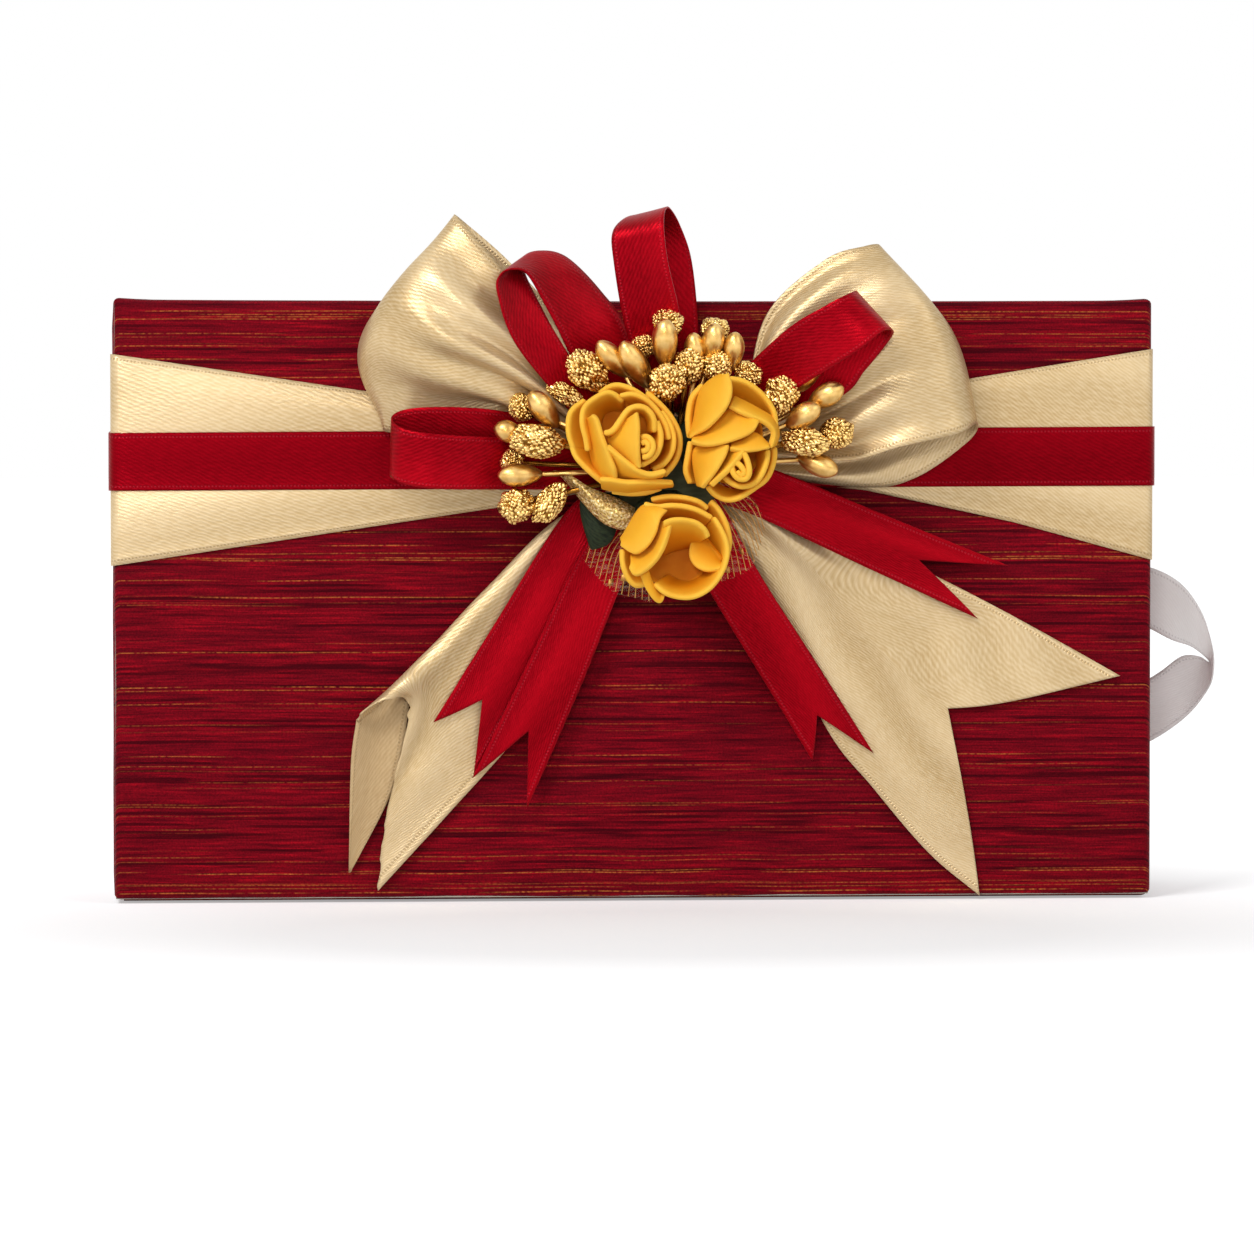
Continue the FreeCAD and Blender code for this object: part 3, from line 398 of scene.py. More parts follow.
# A lit copy of the red satin: the bow's loops and tails are the band's fabric, with colours painted lighter
# for the light they catch.
RED_BOW_LIT = satin(
    "red_satin_bow_lit", painted_shade=srgb(116, 2, 12), body=srgb(151, 5, 19), painted_highlight=srgb(198, 12, 32),
    stitch=srgb(206, 66, 82), gloss=srgb(255, 44, 56), seam=0.2, roughness=0.34, fuzz=0.02, metal=0.3,
)
WHITE = satin(
    "white_satin", painted_shade=srgb(240, 232, 229), body=srgb(248, 241, 238), painted_highlight=srgb(252, 247, 245),
    stitch=srgb(196, 186, 186), gloss=srgb(255, 255, 255), seam=0.4,
)
FOAM = rose_foam()
BUD_GOLD = metal_gold("bud_gold", srgb(198, 154, 82), srgb(230, 192, 122), 0.22, 1.2, 0.10)
# Berry gold: its dark end is painted shade for the hollows between beads.
BERRY_GOLD = metal_gold("berry_gold", srgb(128, 86, 30), srgb(244, 206, 128), 0.14, 3.5, 0.2, pit_shade=True)
THREAD_GOLD = metal_gold("thread_gold", srgb(190, 126, 50), srgb(226, 176, 96), 0.3, 2.0, 0.2, 0.6)
LEAF = leaf_cloth("leaf_cloth", "weave")
GLITTER = glitter_foil()
FILM = clear_film()
GREYBOARD = plain_board("greyboard", srgb(150, 142, 132), srgb(172, 164, 152), srgb(110, 100, 92))
PAPER = plain_board("lining_paper", srgb(226, 216, 198), srgb(240, 232, 216), srgb(206, 190, 166))
CARD = plain_board("pad_card", srgb(70, 74, 52), srgb(92, 96, 68), srgb(52, 54, 40))
WIRE = metal_gold("florist_wire", srgb(60, 72, 52), srgb(92, 104, 78), 0.4, 2.0, 0.2)
CALYX = leaf_cloth("calyx_cloth", "Object")


# Making of meshes

def piece(mesh, name, finish, slot, *nodes, body="sleeve"):
    """A finished object from a bmesh, riding on its body and standing for its CAD nodes."""
    data = bpy.data.meshes.new(name)
    mesh.to_mesh(data)
    mesh.free()
    data.materials.append(finish)
    data.polygons.foreach_set("use_smooth", [True] * len(data.polygons))
    thing = bpy.data.objects.new(name, data)
    bpy.context.scene.collection.objects.link(thing)
    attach(thing, body)
    if nodes:
        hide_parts(*nodes)
    return thing


def thicken(thing, millimetres, offset=0.0):
    """Wall thickness: half to each side, or inwards at an offset of -1."""
    wall = thing.modifiers.new("thickness", "SOLIDIFY")
    wall.thickness = millimetres * MM
    wall.offset = offset
    wall.use_even_offset = False


def soften(thing):
    sub = thing.modifiers.new("softness", "SUBSURF")
    sub.levels = 1
    sub.render_levels = 1


def spaced(low, high, count):
    """Evenly spaced values from low to high, both included."""
    return [low + (high - low) * i / count for i in range(count + 1)]


def centre_length(stations):
    """Length in millimetres along the middle of a surface."""
    middle = [patch(stations, share, 0.5) for share in spaced(0, 1, 120)]
    return sum((b - a).length for a, b in zip(middle, middle[1:])) / MM


def lay_grid(mesh, rows, columns, where, width):
    """A grid of rows by columns moved to where(along, across), with a weave map in millimetres of cloth."""
    weave = mesh.loops.layers.uv.get("weave") or mesh.loops.layers.uv.new("weave")
    edge = mesh.verts.layers.float.get("edge") or mesh.verts.layers.float.new("edge")
    made = bmesh.ops.create_grid(mesh, x_segments=rows, y_segments=columns, size=0.5)["verts"]
    knots = {}
    for v in made:
        along, across = v.co.x + 0.5, v.co.y + 0.5
        v[edge] = min(across, 1 - across) * width
        knots[round(along * rows), round(across * columns)] = v
        v.co = where(along, across)
    lengths = {}
    for i in range(rows + 1):
        for j in range(columns + 1):
            here = knots[i, j]
            along = lengths[knots[i - 1, j]][0] + (here.co - knots[i - 1, j].co).length / MM if i else 0.0
            across = lengths[knots[i, j - 1]][1] + (here.co - knots[i, j - 1].co).length / MM if j else 0.0
            lengths[here] = (along, across)
    for face in {f for v in made for f in v.link_faces}:
        for loop in face.loops:
            loop[weave].uv = lengths[loop.vert]


LUMP_SIZE = 9.0
FRAY_PITCH = 1.9
FRAY_ROW = 4.7


def ribbon(name, stations, width, rows, columns, finish, slot, nodes, trim=None, pleat=None,
           body="sleeve", thick=RIBBON_THICK, uneven=0.2, cut=1.0, fray=0.0):
    """A length of satin ribbon laid through its stations, its far end cut to trim(across)."""
    length = centre_length(stations)
    step = 0.004
    slices = 40

    def where(along, across):
        if trim:
            along = along * trim(across)
        point = patch(stations, along, across)
        ahead = patch(stations, min(along + step, 1), across) - patch(stations, max(along - step, 0), across)
        aside = patch(stations, along, min(across + step, 1)) - patch(stations, along, max(across - step, 0))
        out = ahead.cross(aside).normalized()
        lift = wobble(point, LUMP_SIZE, uneven)
        if pleat:
            lift += pleat(along, across) * MM
        if fray and along > 0.999:
            ragged = noise.noise(Vector((across * width * FRAY_PITCH, FRAY_ROW, 0)))
            point += ahead.normalized() * fray * MM * ragged
        return point + out * lift

    mesh = bmesh.new()
    lay_grid(mesh, rows, columns, where, width)
    thing = piece(mesh, name, finish, slot, *nodes, body=body)
    thicken(thing, thick)
    share = cut
    if trim:
        share = sum(trim((i + 0.5) / slices) for i in range(slices)) / slices


def swallow(notch):
    """A swallow-tail cut: full length at both edges, shorter by notch in the middle."""
    return lambda across: 1 - notch * (1 - abs(2 * across - 1))


def stations_of(*rows):
    """Rows of (along the box, up, out) in millimetres turned into points."""
    return [[spot(*p) for p in row] for row in rows]


# Silk cover

UNDER_LAP = 13.0
END_GAP = 0.25
HEM_DEPTHS = (9.0, 5.0)
HEM_FADE = 6.0
TOP_SAG = 0.26
SAG_REACH = 30.0
CORNER_LIFT = 0.35
CORNER_REACH = 5.0
SILK_LUMPS = 16.0
SILK_UNEVEN = 0.22
TOP_UNEVEN = 0.14


def round_corner(centre, radius, first, last, steps=4):
    """Points of an arc in a plane, between two angles in degrees."""
    found = []
    for i in range(steps + 1):
        turn = math.radians(first + (last - first) * i / steps)
        found.append((centre[0] + radius * math.cos(turn), centre[1] + radius * math.sin(turn)))
    return found


def path_length(points):
    return sum(math.dist(a, b) for a, b in zip(points, points[1:]))


def girth():
    """Points (depth, height) round the box from under the front edge over the top to under the back."""
    r = EDGE_ROUND
    half = [(y, COVER_FOOT) for y in spaced(-UNDER_LAP, FRONT + r, 3)[:-1]]
    half += round_corner((FRONT + r, COVER_FOOT + r), r, 270, 180)
    half += [(FRONT, z) for z in spaced(COVER_FOOT + r, TOP - r, 36)[1:-1]]
    half += round_corner((FRONT + r, TOP - r), r, 180, 90)
    half += [(y, TOP) for y in spaced(FRONT + r, 0, 8)[1:]]
    return half + [(-y, z) for y, z in reversed(half[:-1])]


def mouth_path(first, count):
    """Points (along, depth into the wall) from the closed end to the hem turned in at the mouth."""
    r = SHELL / 2
    path = [(x, 0.0) for x in spaced(first, RIGHT - r, count)[:-1]]
    path += [(x, r - y) for x, y in round_corner((RIGHT - r, 0), r, 90, -90, 8)]
    path += [(x, SHELL) for x in spaced(RIGHT - r, RIGHT - TURN_IN, 3)[1:]]
    return path


def cover():
    """The one silk wrap over front, top and back, with its hems at both ends."""
    r = EDGE_ROUND
    left = LEFT + END_GAP
    hem = [(left, d) for d in HEM_DEPTHS]
    hem += [(x, r - y) for x, y in round_corner((left + r, 0), r, 180, 90)]
    path = hem + mouth_path(left + r, 64)[1:]
    ring = girth()

    def where(i, j):
        y, z = ring[i]
        x, depth = path[j]
        y = min(max(y, FRONT + depth), BACK - depth)
        z = min(max(z, COVER_FOOT + depth), TOP - depth)
        shown = smooth(HEM_FADE, 0, depth)
        share = (2 * x / (RIGHT - LEFT)) ** 2
        high = smooth(TOP - SAG_REACH, TOP, z)
        z -= TOP_SAG * (1 - share) * high * shown
        corner = math.exp(-((abs(x) - RIGHT) / CORNER_REACH) ** 2)
        z += CORNER_LIFT * corner * high * shown
        point = Vector((x, y, z)) * MM
        out = Vector((0, y / BACK, (z - TOP / 2) / TOP)).normalized()
        flat_top = smooth(TOP - 2.5, TOP - EDGE_ROUND, z)
        return point + out * wobble(point, SILK_LUMPS, SILK_UNEVEN - TOP_UNEVEN * flat_top) * shown

    mesh = bmesh.new()
    rows, columns = len(ring) - 1, len(path) - 1
    long_way = path_length(ring)
    wide = path_length(path)
    lay_grid(mesh, rows, columns, lambda u, v: where(round(u * rows), round(v * columns)), wide)
    bmesh.ops.recalc_face_normals(mesh, faces=mesh.faces)
    if sum(f.normal.y for f in mesh.faces if f.calc_center_median().y < ON_FRONT) > 0:
        bmesh.ops.reverse_faces(mesh, faces=mesh.faces)
    thing = piece(mesh, "silk_cover", SILK, "red_silk", "cover_cloth")
    thicken(thing, SILK_THICK, -1)


def end_patch():
    """Silk over the closed end, laid on the cover's turned hem."""
    inset = 1.3
    rows, columns = 28, 12
    ys = spaced(FRONT + inset, BACK - inset, columns)
    zs = spaced(inset, TOP - inset, rows)

    def where(along, across):
        i, j = round(along * rows), round(across * columns)
        inside = min(i, rows - i, j, columns - j) > 0
        point = Vector((LEFT if inside else LEFT + END_GAP, ys[j], zs[i])) * MM
        point.x += wobble(point, 14, 0.12)
        return point

    mesh = bmesh.new()
    lay_grid(mesh, rows, columns, where, ys[-1] - ys[0])
    bmesh.ops.reverse_faces(mesh, faces=[f for f in mesh.faces if f.normal.x > 0])
    thing = piece(mesh, "silk_end_patch", SILK_END, "red_silk", "end_cloth")
    thicken(thing, SILK_THICK, -1)


def bottom_strip():
    """Silk under the box, turned up into the mouth."""
    inset = 2.0
    path = mouth_path(LEFT + inset, 24)
    rows, columns = len(path) - 1, 10
    ys = spaced(FRONT + SHELL, BACK - SHELL, columns)

    def where(along, across):
        x, depth = path[round(along * rows)]
        return Vector((x, ys[round(across * columns)], depth)) * MM

    mesh = bmesh.new()
    lay_grid(mesh, rows, columns, where, ys[-1] - ys[0])
    low = [f for f in mesh.faces if f.calc_center_median().z < 0.5 * MM and abs(f.normal.z) > 0.9]
    if sum(f.normal.z for f in low) > 0:
        bmesh.ops.reverse_faces(mesh, faces=mesh.faces)
    thing = piece(mesh, "silk_bottom_strip", SILK, "red_silk", "bottom_cloth")
    thicken(thing, SILK_THICK, -1)
    flat = ((ys[-1] - ys[0]) * MM, path_length(path) * MM)


def pull_facing():
    """Silk on the tray's pull end, slit where the two strands of the ribbon pass."""
    low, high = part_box("pull_end_cloth")
    face = high.x / MM
    half = high.y / MM
    slits = ((-4.5, 59.0), (4.5, 34.0))
    slit_wide = 0.5
    slit_long = PULL_WIDTH / 2 + 0.4
    rim_turn = 0.35
    ys = sorted(spaced(-half, half, 10) + [y + s * slit_wide for y, z in slits for s in (-1, 1)])
    zs = sorted(spaced(low.z / MM, high.z / MM, 20) + [z + s * slit_long for y, z in slits for s in (-1, 1)])
    rows, columns = len(zs) - 1, len(ys) - 1

    def where(along, across):
        i, j = round(along * rows), round(across * columns)
        rim = i in (0, rows) or j in (0, columns)
        return Vector((face - rim_turn if rim else face, ys[j], zs[i])) * MM

    mesh = bmesh.new()
    lay_grid(mesh, rows, columns, where, 2 * half)
    for y, z in slits:
        gone = []
        for f in mesh.faces:
            middle = f.calc_center_median() / MM
            if abs(middle.y - y) < slit_wide and abs(middle.z - z) < slit_long:
                gone.append(f)
        bmesh.ops.delete(mesh, geom=gone, context="FACES")
    bmesh.ops.reverse_faces(mesh, faces=[f for f in mesh.faces if f.normal.x < 0])
    thing = piece(mesh, "silk_pull_facing", SILK_END, "red_silk", "pull_end_cloth", body="tray")
    thicken(thing, SILK_THICK, -1)


cover()
end_patch()
bottom_strip()
pull_facing()


# Ribbon bands round the box

BAND_COLUMNS = 28
BAND_LIFT = 0.05


def band_path(proud):
    """Points (along, depth) round the box: hem in the mouth, front, closed end, back, hem in the mouth."""
    r = SHELL / 2
    turn = EDGE_ROUND
    near = FRONT + r
    half = [(x, FRONT + SHELL + proud) for x in spaced(RIGHT - TURN_IN, RIGHT - r, 3)[:-1]]
    half += round_corner((RIGHT - r, near), r + proud, 90, -90, 8)
    half += [(x, FRONT - proud) for x in spaced(RIGHT - r, LEFT + turn, 84)[1:-1]]
    half += round_corner((LEFT + turn, FRONT + turn), turn + proud, -90, -180)
    half += [(LEFT - proud, y) for y in spaced(FRONT + turn, 0, 8)[1:]]
    return half + [(x, -y) for x, y in reversed(half[:-1])]


def band(name, proud, lower, upper, finish, slot, node, width, pleat=None):
    """A ribbon round the box whose edges on the front follow two tables of height."""
    path = band_path(proud)
    stations = []
    for x, y in path:
        at = x if y < 0 else LEFT if y < BACK - 1 else -x
        low, high = level(lower, at), level(upper, at)
        if y > 0:
            low, high = lower[0][1], upper[0][1]
            share = smooth(LEFT, RIGHT, x)
            low += (lower[-1][1] - low) * share
            high += (upper[-1][1] - high) * share
        stations.append([Vector((x, y, low)) * MM, Vector((x, y, high)) * MM])
    rows = len(path) - 1

    def where(along, across):
        low, high = stations[round(along * rows)]
        point = low.lerp(high, across)
        if point.y < ON_FRONT:
            point.y -= BAND_LIFT * MM
            if pleat:
                point.y -= pleat(point.x / MM, across) * MM
        return point

    mesh = bmesh.new()
    lay_grid(mesh, rows, BAND_COLUMNS, where, width)
    if sum(f.normal.y for f in mesh.faces if f.calc_center_median().y < ON_FRONT) > 0:
        bmesh.ops.reverse_faces(mesh, faces=mesh.faces)
    thing = piece(mesh, name, finish, slot, node)
    thicken(thing, RIBBON_THICK, 0.0)


def gold_gather(x, across):
    """Soft folds that run along the band, deepest at the knot and shallow at the box's edges."""
    away = abs(x - SPRAY.x)
    near = 0.4 + 0.6 * (1 - smooth(6, 88, away))
    sway = 0.05 * math.sin(x * 0.045 + 0.8)
    fold = 0.5 + 0.5 * math.cos((across - 0.2 + sway) * 2 * math.pi / 0.6)
    rise = 1.05 * near * fold * smooth(0, 0.12, min(across, 1 - across))
    tight = 1.2 * (1 - smooth(2, 16, away)) * (0.5 + 0.5 * math.cos(across * math.pi * 9))
    return 0.1 + rise + tight


def red_gather(x, across):
    """The red band rises over the gold one towards the knot."""
    near = 1 - smooth(6, 60, abs(x - SPRAY.x))
    return 0.35 + 1.4 * near + 0.25 * near * math.sin(across * math.pi * 3)


band(
    "gold_ribbon_band", 0.2,
    [(-102.5, 65.9), (-26.6, 77.3), (2, 82.2), (14, 83.6), (45.4, 80.6), (75, 74.2), (102.5, 66.7)],
    [(-102.5, 107.3), (-50.6, 99.7), (2, 91.8), (14, 92.4), (67.2, 102.7), (102.5, 108.4)],
    GOLD, "gold_satin", "gold_band", GOLD_WIDTH, gold_gather,
)
band(
    "red_ribbon_band", 0.6,
    [(-102.5, 80.6), (102.5, 81.4)],
    [(-102.5, 91.9), (102.5, 93.1)],
    RED, "red_satin", "red_band", RED_WIDTH, red_gather,
)


# Bow: loops, tails and the knot that binds them

def root_pleat(waves, depth, first, last):
    """Pleats that gather a loop where both its ends meet the knot."""
    def lift(along, across):
        start = 1 - smooth(0, first, along)
        finish = smooth(last, 1, along)
        return depth * (start + 0.5 * finish) * math.sin(across * math.pi * 2 * waves + 0.6)
    return lift


TAIL_SHOWN = 0.62
FLAP_WIDTH = 10.6
GOLD_LOOPS = {
    "left": (
        [(-7.7, 93.4, 7), (-9.5, 91.9, 8.5), (-9.7, 89.9, 7)],
        [(-18.5, 112.0, 12), (-24.7, 103.2, 18), (-29.2, 92.9, 8.5)],
        [(-27.5, 123.9, 17), (-39.3, 109.9, 21), (-41.9, 92.2, 8.5)],
        [(-34.8, 132.8, 15), (-49.2, 115.4, 17), (-48.6, 92.1, 7)],
        [(-35.9, 134.3, 11), (-54.0, 110.4, 9), (-49.6, 92.9, 5.5)],
        [(-33.9, 133.1, 6), (-51.4, 111.6, 3.5), (-48.3, 92.9, 4)],
        [(-24.8, 125.3, 3), (-36.5, 109.1, 2.4), (-40.5, 92.9, 2.5)],
        [(-14.9, 114.0, 2.6), (-20.8, 101.3, 2.4), (-24.7, 91.5, 2.6)],
        [(-2.1, 94.4, 3.5), (-2.1, 90.5, 3.5), (-3.1, 87.5, 3.5)],
    ),
    "right": (
        [(20.5, 94.4, 8), (21.7, 91.5, 9), (22.5, 88.6, 8)],
        [(24.5, 114.3, 9), (33.5, 101.3, 13), (40.0, 86.7, 12)],
        [(36.1, 125.6, 10), (45.7, 110.9, 15), (51.3, 89.4, 16)],
        [(44.3, 128.4, 10), (56.5, 114.7, 14), (61.9, 91.8, 15)],
        [(47.5, 128.5, 7), (61.8, 111.1, 9), (66.4, 93.7, 10)],
        [(45.5, 126.2, 4), (59.7, 109.1, 5), (65.2, 90.1, 5)],
        [(38.2, 119.6, 2.6), (48.1, 102.3, 2.6), (55.0, 83.0, 3)],
        [(30.4, 108.2, 2.6), (36.3, 94.4, 2.6), (44.2, 81.2, 2.6)],
        [(15.6, 92.4, 3.5), (16.6, 88.5, 3.5), (20.5, 84.2, 3.5)],
    ),
}
RED_LOOPS = {
    "top": (
        [(2.2, 96.4, 8), (10.0, 96.4, 8)],
        [(-2.8, 112.0, 13), (8.2, 112.0, 15)],
        [(-5.4, 125.1, 17), (4.9, 125.1, 20)],
        [(-5.6, 130.9, 17), (4.1, 132.8, 20)],
        [(-2.4, 133.9, 13), (5.3, 135.8, 15)],
        [(0.3, 133.0, 9), (8.1, 132.5, 9)],
        [(2.4, 125.3, 7), (10.7, 125.3, 6)],
        [(3.4, 112.0, 6), (12.0, 112.1, 5)],
        [(3.5, 96.3, 5), (11.4, 96.3, 5)],
    ),
    "upper_left": (
        [(-12.3, 94.5, 14), (-6.1, 94.7, 12)],
        [(-24.4, 108.7, 22), (-15.8, 109.6, 18)],
        [(-28.3, 118.8, 23.5), (-21.7, 120.6, 17.5)],
        [(-27.7, 122.5, 23), (-23.0, 125.6, 15)],
        [(-24.8, 123.5, 22), (-19.7, 127.3, 13)],
        [(-22.0, 122.1, 20.5), (-14.1, 126.0, 11)],
        [(-17.8, 114.8, 19), (-7.5, 119.4, 11)],
        [(-14.0, 107.5, 16), (-2.6, 112.5, 11)],
        [(-7.8, 95.3, 10), (2.2, 97.2, 7)],
    ),
    "right": (
        [(12.8, 96.8, 9), (16.7, 91.3, 9)],
        [(26.8, 111.2, 22), (33.4, 102.8, 22)],
        [(34.6, 116.4, 26), (41.2, 107.9, 26)],
        [(39.2, 118.8, 26), (46.1, 111.7, 26)],
        [(41.2, 119.4, 22), (48.6, 111.7, 22)],
        [(41.0, 118.6, 18), (48.0, 109.6, 18)],
        [(36.4, 114.6, 17), (43.6, 104.1, 17)],
        [(28.2, 107.9, 15), (38.6, 98.7, 15.5)],
        [(14.8, 95.3, 8), (20.3, 89.6, 8)],
    ),
    "left": (
        [(-7.5, 90.0, 9), (-7.5, 80.8, 9)],
        [(-20.0, 90.8, 11.5), (-20.0, 80.9, 11)],
        [(-30.0, 91.2, 16), (-30.0, 81.0, 15)],
        [(-40.2, 91.8, 20), (-40.2, 81.2, 18.5)],
        [(-46.2, 92.8, 19), (-46.6, 82.2, 17.5)],
        [(-48.4, 94.8, 16.6), (-48.8, 83.8, 15.4)],
        [(-46.2, 96.4, 15.6), (-47.5, 85.1, 13)],
        [(-40.1, 97.0, 16.2), (-40.1, 85.8, 12.6)],
        [(-30.0, 96.6, 15.4), (-30.0, 85.8, 11)],
        [(-20.0, 95.0, 10), (-20.0, 85.4, 8)],
        [(-8.0, 92.6, 5), (-8.0, 84.8, 5)],
    ),
}
for side, rows in GOLD_LOOPS.items():
    ribbon(
        f"gold_loop_{side}_ribbon", stations_of(*rows), GOLD_WIDTH, 110, 36, GOLD, "gold_satin",
        [f"gold_loop_{side}"], pleat=root_pleat(4.5, 2.2, 0.42, 0.62),
    )
for side, rows in RED_LOOPS.items():
    ribbon(
        f"red_loop_{side}_ribbon", stations_of(*rows), RED_WIDTH, 80, 14, RED_BOW_LIT, "red_satin",
        [f"red_loop_{side}"],
        pleat=root_pleat(1, 0.4, 0.2, 0.9) if side == "top" else None,
    )


def tail_fold(along, across):
    """Soft folds of the wide tail, from the knot to past its middle."""
    return 1.4 * (1 - smooth(0, 0.6, along)) * math.sin(across * math.pi * 2.6 + 0.3) ** 2


ribbon(
    "gold_tail_right_ribbon",
    stations_of(
        [(14.5, 77.7, 3.4), (20.4, 82.7, 3.4)],
        [(25.4, 61.0, 2.4), (42.2, 71.8, 2.2)],
        [(37.3, 34.4, 1.6), (60.0, 63.3, 1.6)],
        [(47.1, 21.7, 1.3), (72.1, 57.1, 1.3)],
        [(58.1, 8.9, 1.2), (83.5, 50.9, 1.2)],
        [(68.2, 0.4, 1.1), (96.1, 43.8, 1.1)],
    ),
    GOLD_WIDTH, 90, 40, GOLD, "gold_satin", ["gold_tail_right"],
    trim=swallow(0.36), pleat=tail_fold,
)
ribbon(
    "gold_tail_left_ribbon",
    stations_of(
        [(3.7, 76.8, 3.0), (2.4, 77.6, 3.4), (0.6, 78.6, 3.6), (-1.0, 79.6, 3.8), (-3.1, 80.7, 3.4),
         (-2.6, 80.3, 2.6)],
        [(-2.7, 65.0, 1.6), (-7.5, 68.3, 2.2), (-12.6, 71.6, 3.0), (-15.2, 73.2, 4.2), (-16.5, 74.1, 3.2),
         (-15.4, 73.4, 1.6)],
        [(-12.4, 45.9, 1.5), (-18.4, 51.7, 1.9), (-24.6, 57.8, 3.0), (-27.4, 60.4, 4.4), (-29.0, 61.8, 3.2),
         (-27.8, 60.6, 1.4)],
        [(-24.0, 31.4, 1.4), (-29.6, 38.0, 1.8), (-35.6, 44.8, 3.2), (-38.8, 48.0, 5.0), (-40.9, 49.4, 3.6),
         (-39.6, 48.2, 1.6)],
        [(-36.5, 17.5, 1.3), (-38.6, 28.0, 1.8), (-41.0, 39.4, 3.4), (-44.4, 43.2, 6.0), (-47.3, 43.2, 4.8),
         (-46.8, 41.8, 2.4)],
        [(-50.9, 1.8, 1.2), (-48.9, 18.0, 1.9), (-44.6, 38.0, 3.4), (-49.2, 39.8, 6.9), (-53.6, 37.7, 6.2),
         (-54.9, 35.2, 4.0)],
    ),
    GOLD_WIDTH * TAIL_SHOWN, 80, 60, GOLD, "gold_satin", ["gold_tail_left"],
    fray=0.7,
)
ribbon(
    "gold_tail_left_flap",
    stations_of(
        [(-44.4, 39.6, 1.3), (-49.4, 40.4, 1.0), (-54.9, 35.8, 4.0)],
        [(-45.8, 30.0, 1.2), (-51.0, 30.4, 1.2), (-55.8, 29.6, 3.6)],
        [(-48.4, 20.5, 1.1), (-52.6, 20.4, 1.6), (-56.2, 20.6, 2.8)],
        [(-55.6, 6.6, 1.2), (-56.0, 5.8, 1.3), (-56.4, 5.6, 1.4)],
    ),
    FLAP_WIDTH, 40, 14, GOLD_REVERSE_SHADED, "gold_satin", ["gold_tail_left_fold"],
    cut=0.7,
)
for node, rows, notch in (
    ("red_tail_left_outer",
     ([(-4.5, 81.6, 5.4), (1.5, 75.0, 5.4)], [(-13.6, 76.8, 5.0), (-6.2, 70.2, 4.6)],
      [(-28.6, 53.4, 4.2), (-20.4, 45.6, 3.8)], [(-39.9, 35.2, 3.6), (-32.0, 24.7, 2.8)]), 0.17),
    ("red_tail_left_inner",
     ([(-2.9, 76.7, 6.0), (6.1, 74.6, 6.0)], [(-9.9, 70.7, 5.8), (-1.0, 66.6, 5.6)],
      [(-20.9, 48.0, 4.8), (-10.8, 42.6, 4.4)], [(-32.3, 24.2, 3.6), (-21.5, 18.1, 2.8)]), 0.17),
    ("red_tail_right_lower",
     ([(5.5, 76.4, 6.4), (15.6, 80.2, 6.4)], [(14.5, 60.4, 5.2), (23.6, 65.2, 5.2)],
      [(24.7, 43.8, 3.6), (35.3, 47.0, 3.6)], [(34.9, 27.2, 2.6), (47.0, 28.7, 2.6)]), 0.16),
    ("red_tail_right_upper",
     ([(13.4, 88.5, 7), (11.5, 79.5, 7)], [(27.4, 84.5, 6.4), (23.5, 75.5, 6.2)],
      [(50.5, 75.1, 4.4), (45.5, 65.3, 4.2)], [(73.6, 65.7, 2.8), (67.6, 55.2, 2.8)]), 0.22),
):
    ribbon(
        f"{node}_ribbon", stations_of(*rows), RED_WIDTH, 60, 16, RED_BOW_LIT, "red_satin", [node],
        trim=swallow(notch),
    )

ribbon(
    "pull_loop_ribbon",
    [[Vector(p) * MM for p in row] for row in (
        [(99.0, -4.5, 65.0), (99.0, -4.5, 53.0)],
        [(101.6, -4.5, 65.0), (101.6, -4.5, 53.0)],
        [(106.5, -4.5, 64.3), (105.0, -4.5, 52.4)],
        [(112.0, -4.3, 61.0), (109.8, -4.2, 50.0)],
        [(116.3, -3.2, 55.0), (114.0, -2.4, 48.6)],
        [(118.6, -1.4, 48.0), (117.6, 0.4, 46.2)],
        [(118.9, 0.8, 42.3), (118.5, 2.2, 45.2)],
        [(117.6, 2.8, 38.6), (116.6, 3.6, 46.4)],
        [(114.6, 4.0, 34.6), (113.2, 4.3, 46.4)],
        [(110.0, 4.4, 31.0), (109.0, 4.5, 43.4)],
        [(105.5, 4.5, 28.6), (105.0, 4.5, 41.0)],
        [(101.6, 4.5, 28.0), (101.6, 4.5, 40.0)],
        [(99.0, 4.5, 28.0), (99.0, 4.5, 40.0)],
    )],
    PULL_WIDTH, 96, 14, WHITE, "white_satin", ["pull_ribbon"],
    body="tray", uneven=0.1,
)


def knot():
    """The gathered roots of the bow, bound flat: a pleated puck under the spray."""
    pleats, pleat_depth, flatness, edge_distance = 18, 0.05, 0.6, 5.0
    low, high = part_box("bow_knot")
    middle = (low + high) / 2
    half = (high - low) / 2
    mesh = bmesh.new()
    bmesh.ops.create_uvsphere(mesh, u_segments=72, v_segments=24, radius=1)
    for v in mesh.verts:
        ring = math.atan2(v.co.y, v.co.x)
        pleat = 1 + pleat_depth * math.sin(ring * pleats) * math.hypot(v.co.x, v.co.y)
        flat = math.copysign(abs(v.co.z) ** flatness, v.co.z)
        v.co = middle + Vector((v.co.x * half.x * pleat, -flat * half.y, v.co.y * half.z * pleat))
    bmesh.ops.recalc_face_normals(mesh, faces=mesh.faces)
    weave = mesh.loops.layers.uv.new("weave")
    edge = mesh.verts.layers.float.new("edge")
    for v in mesh.verts:
        v[edge] = edge_distance
    for f in mesh.faces:
        for loop in f.loops:
            loop[weave].uv = (loop.vert.co.x / MM, loop.vert.co.z / MM)
    thing = piece(mesh, "bow_knot_bundle", GOLD, "gold_satin", "bow_knot")


knot()


# Spray: three foam roses, buds, berries, leaves and net

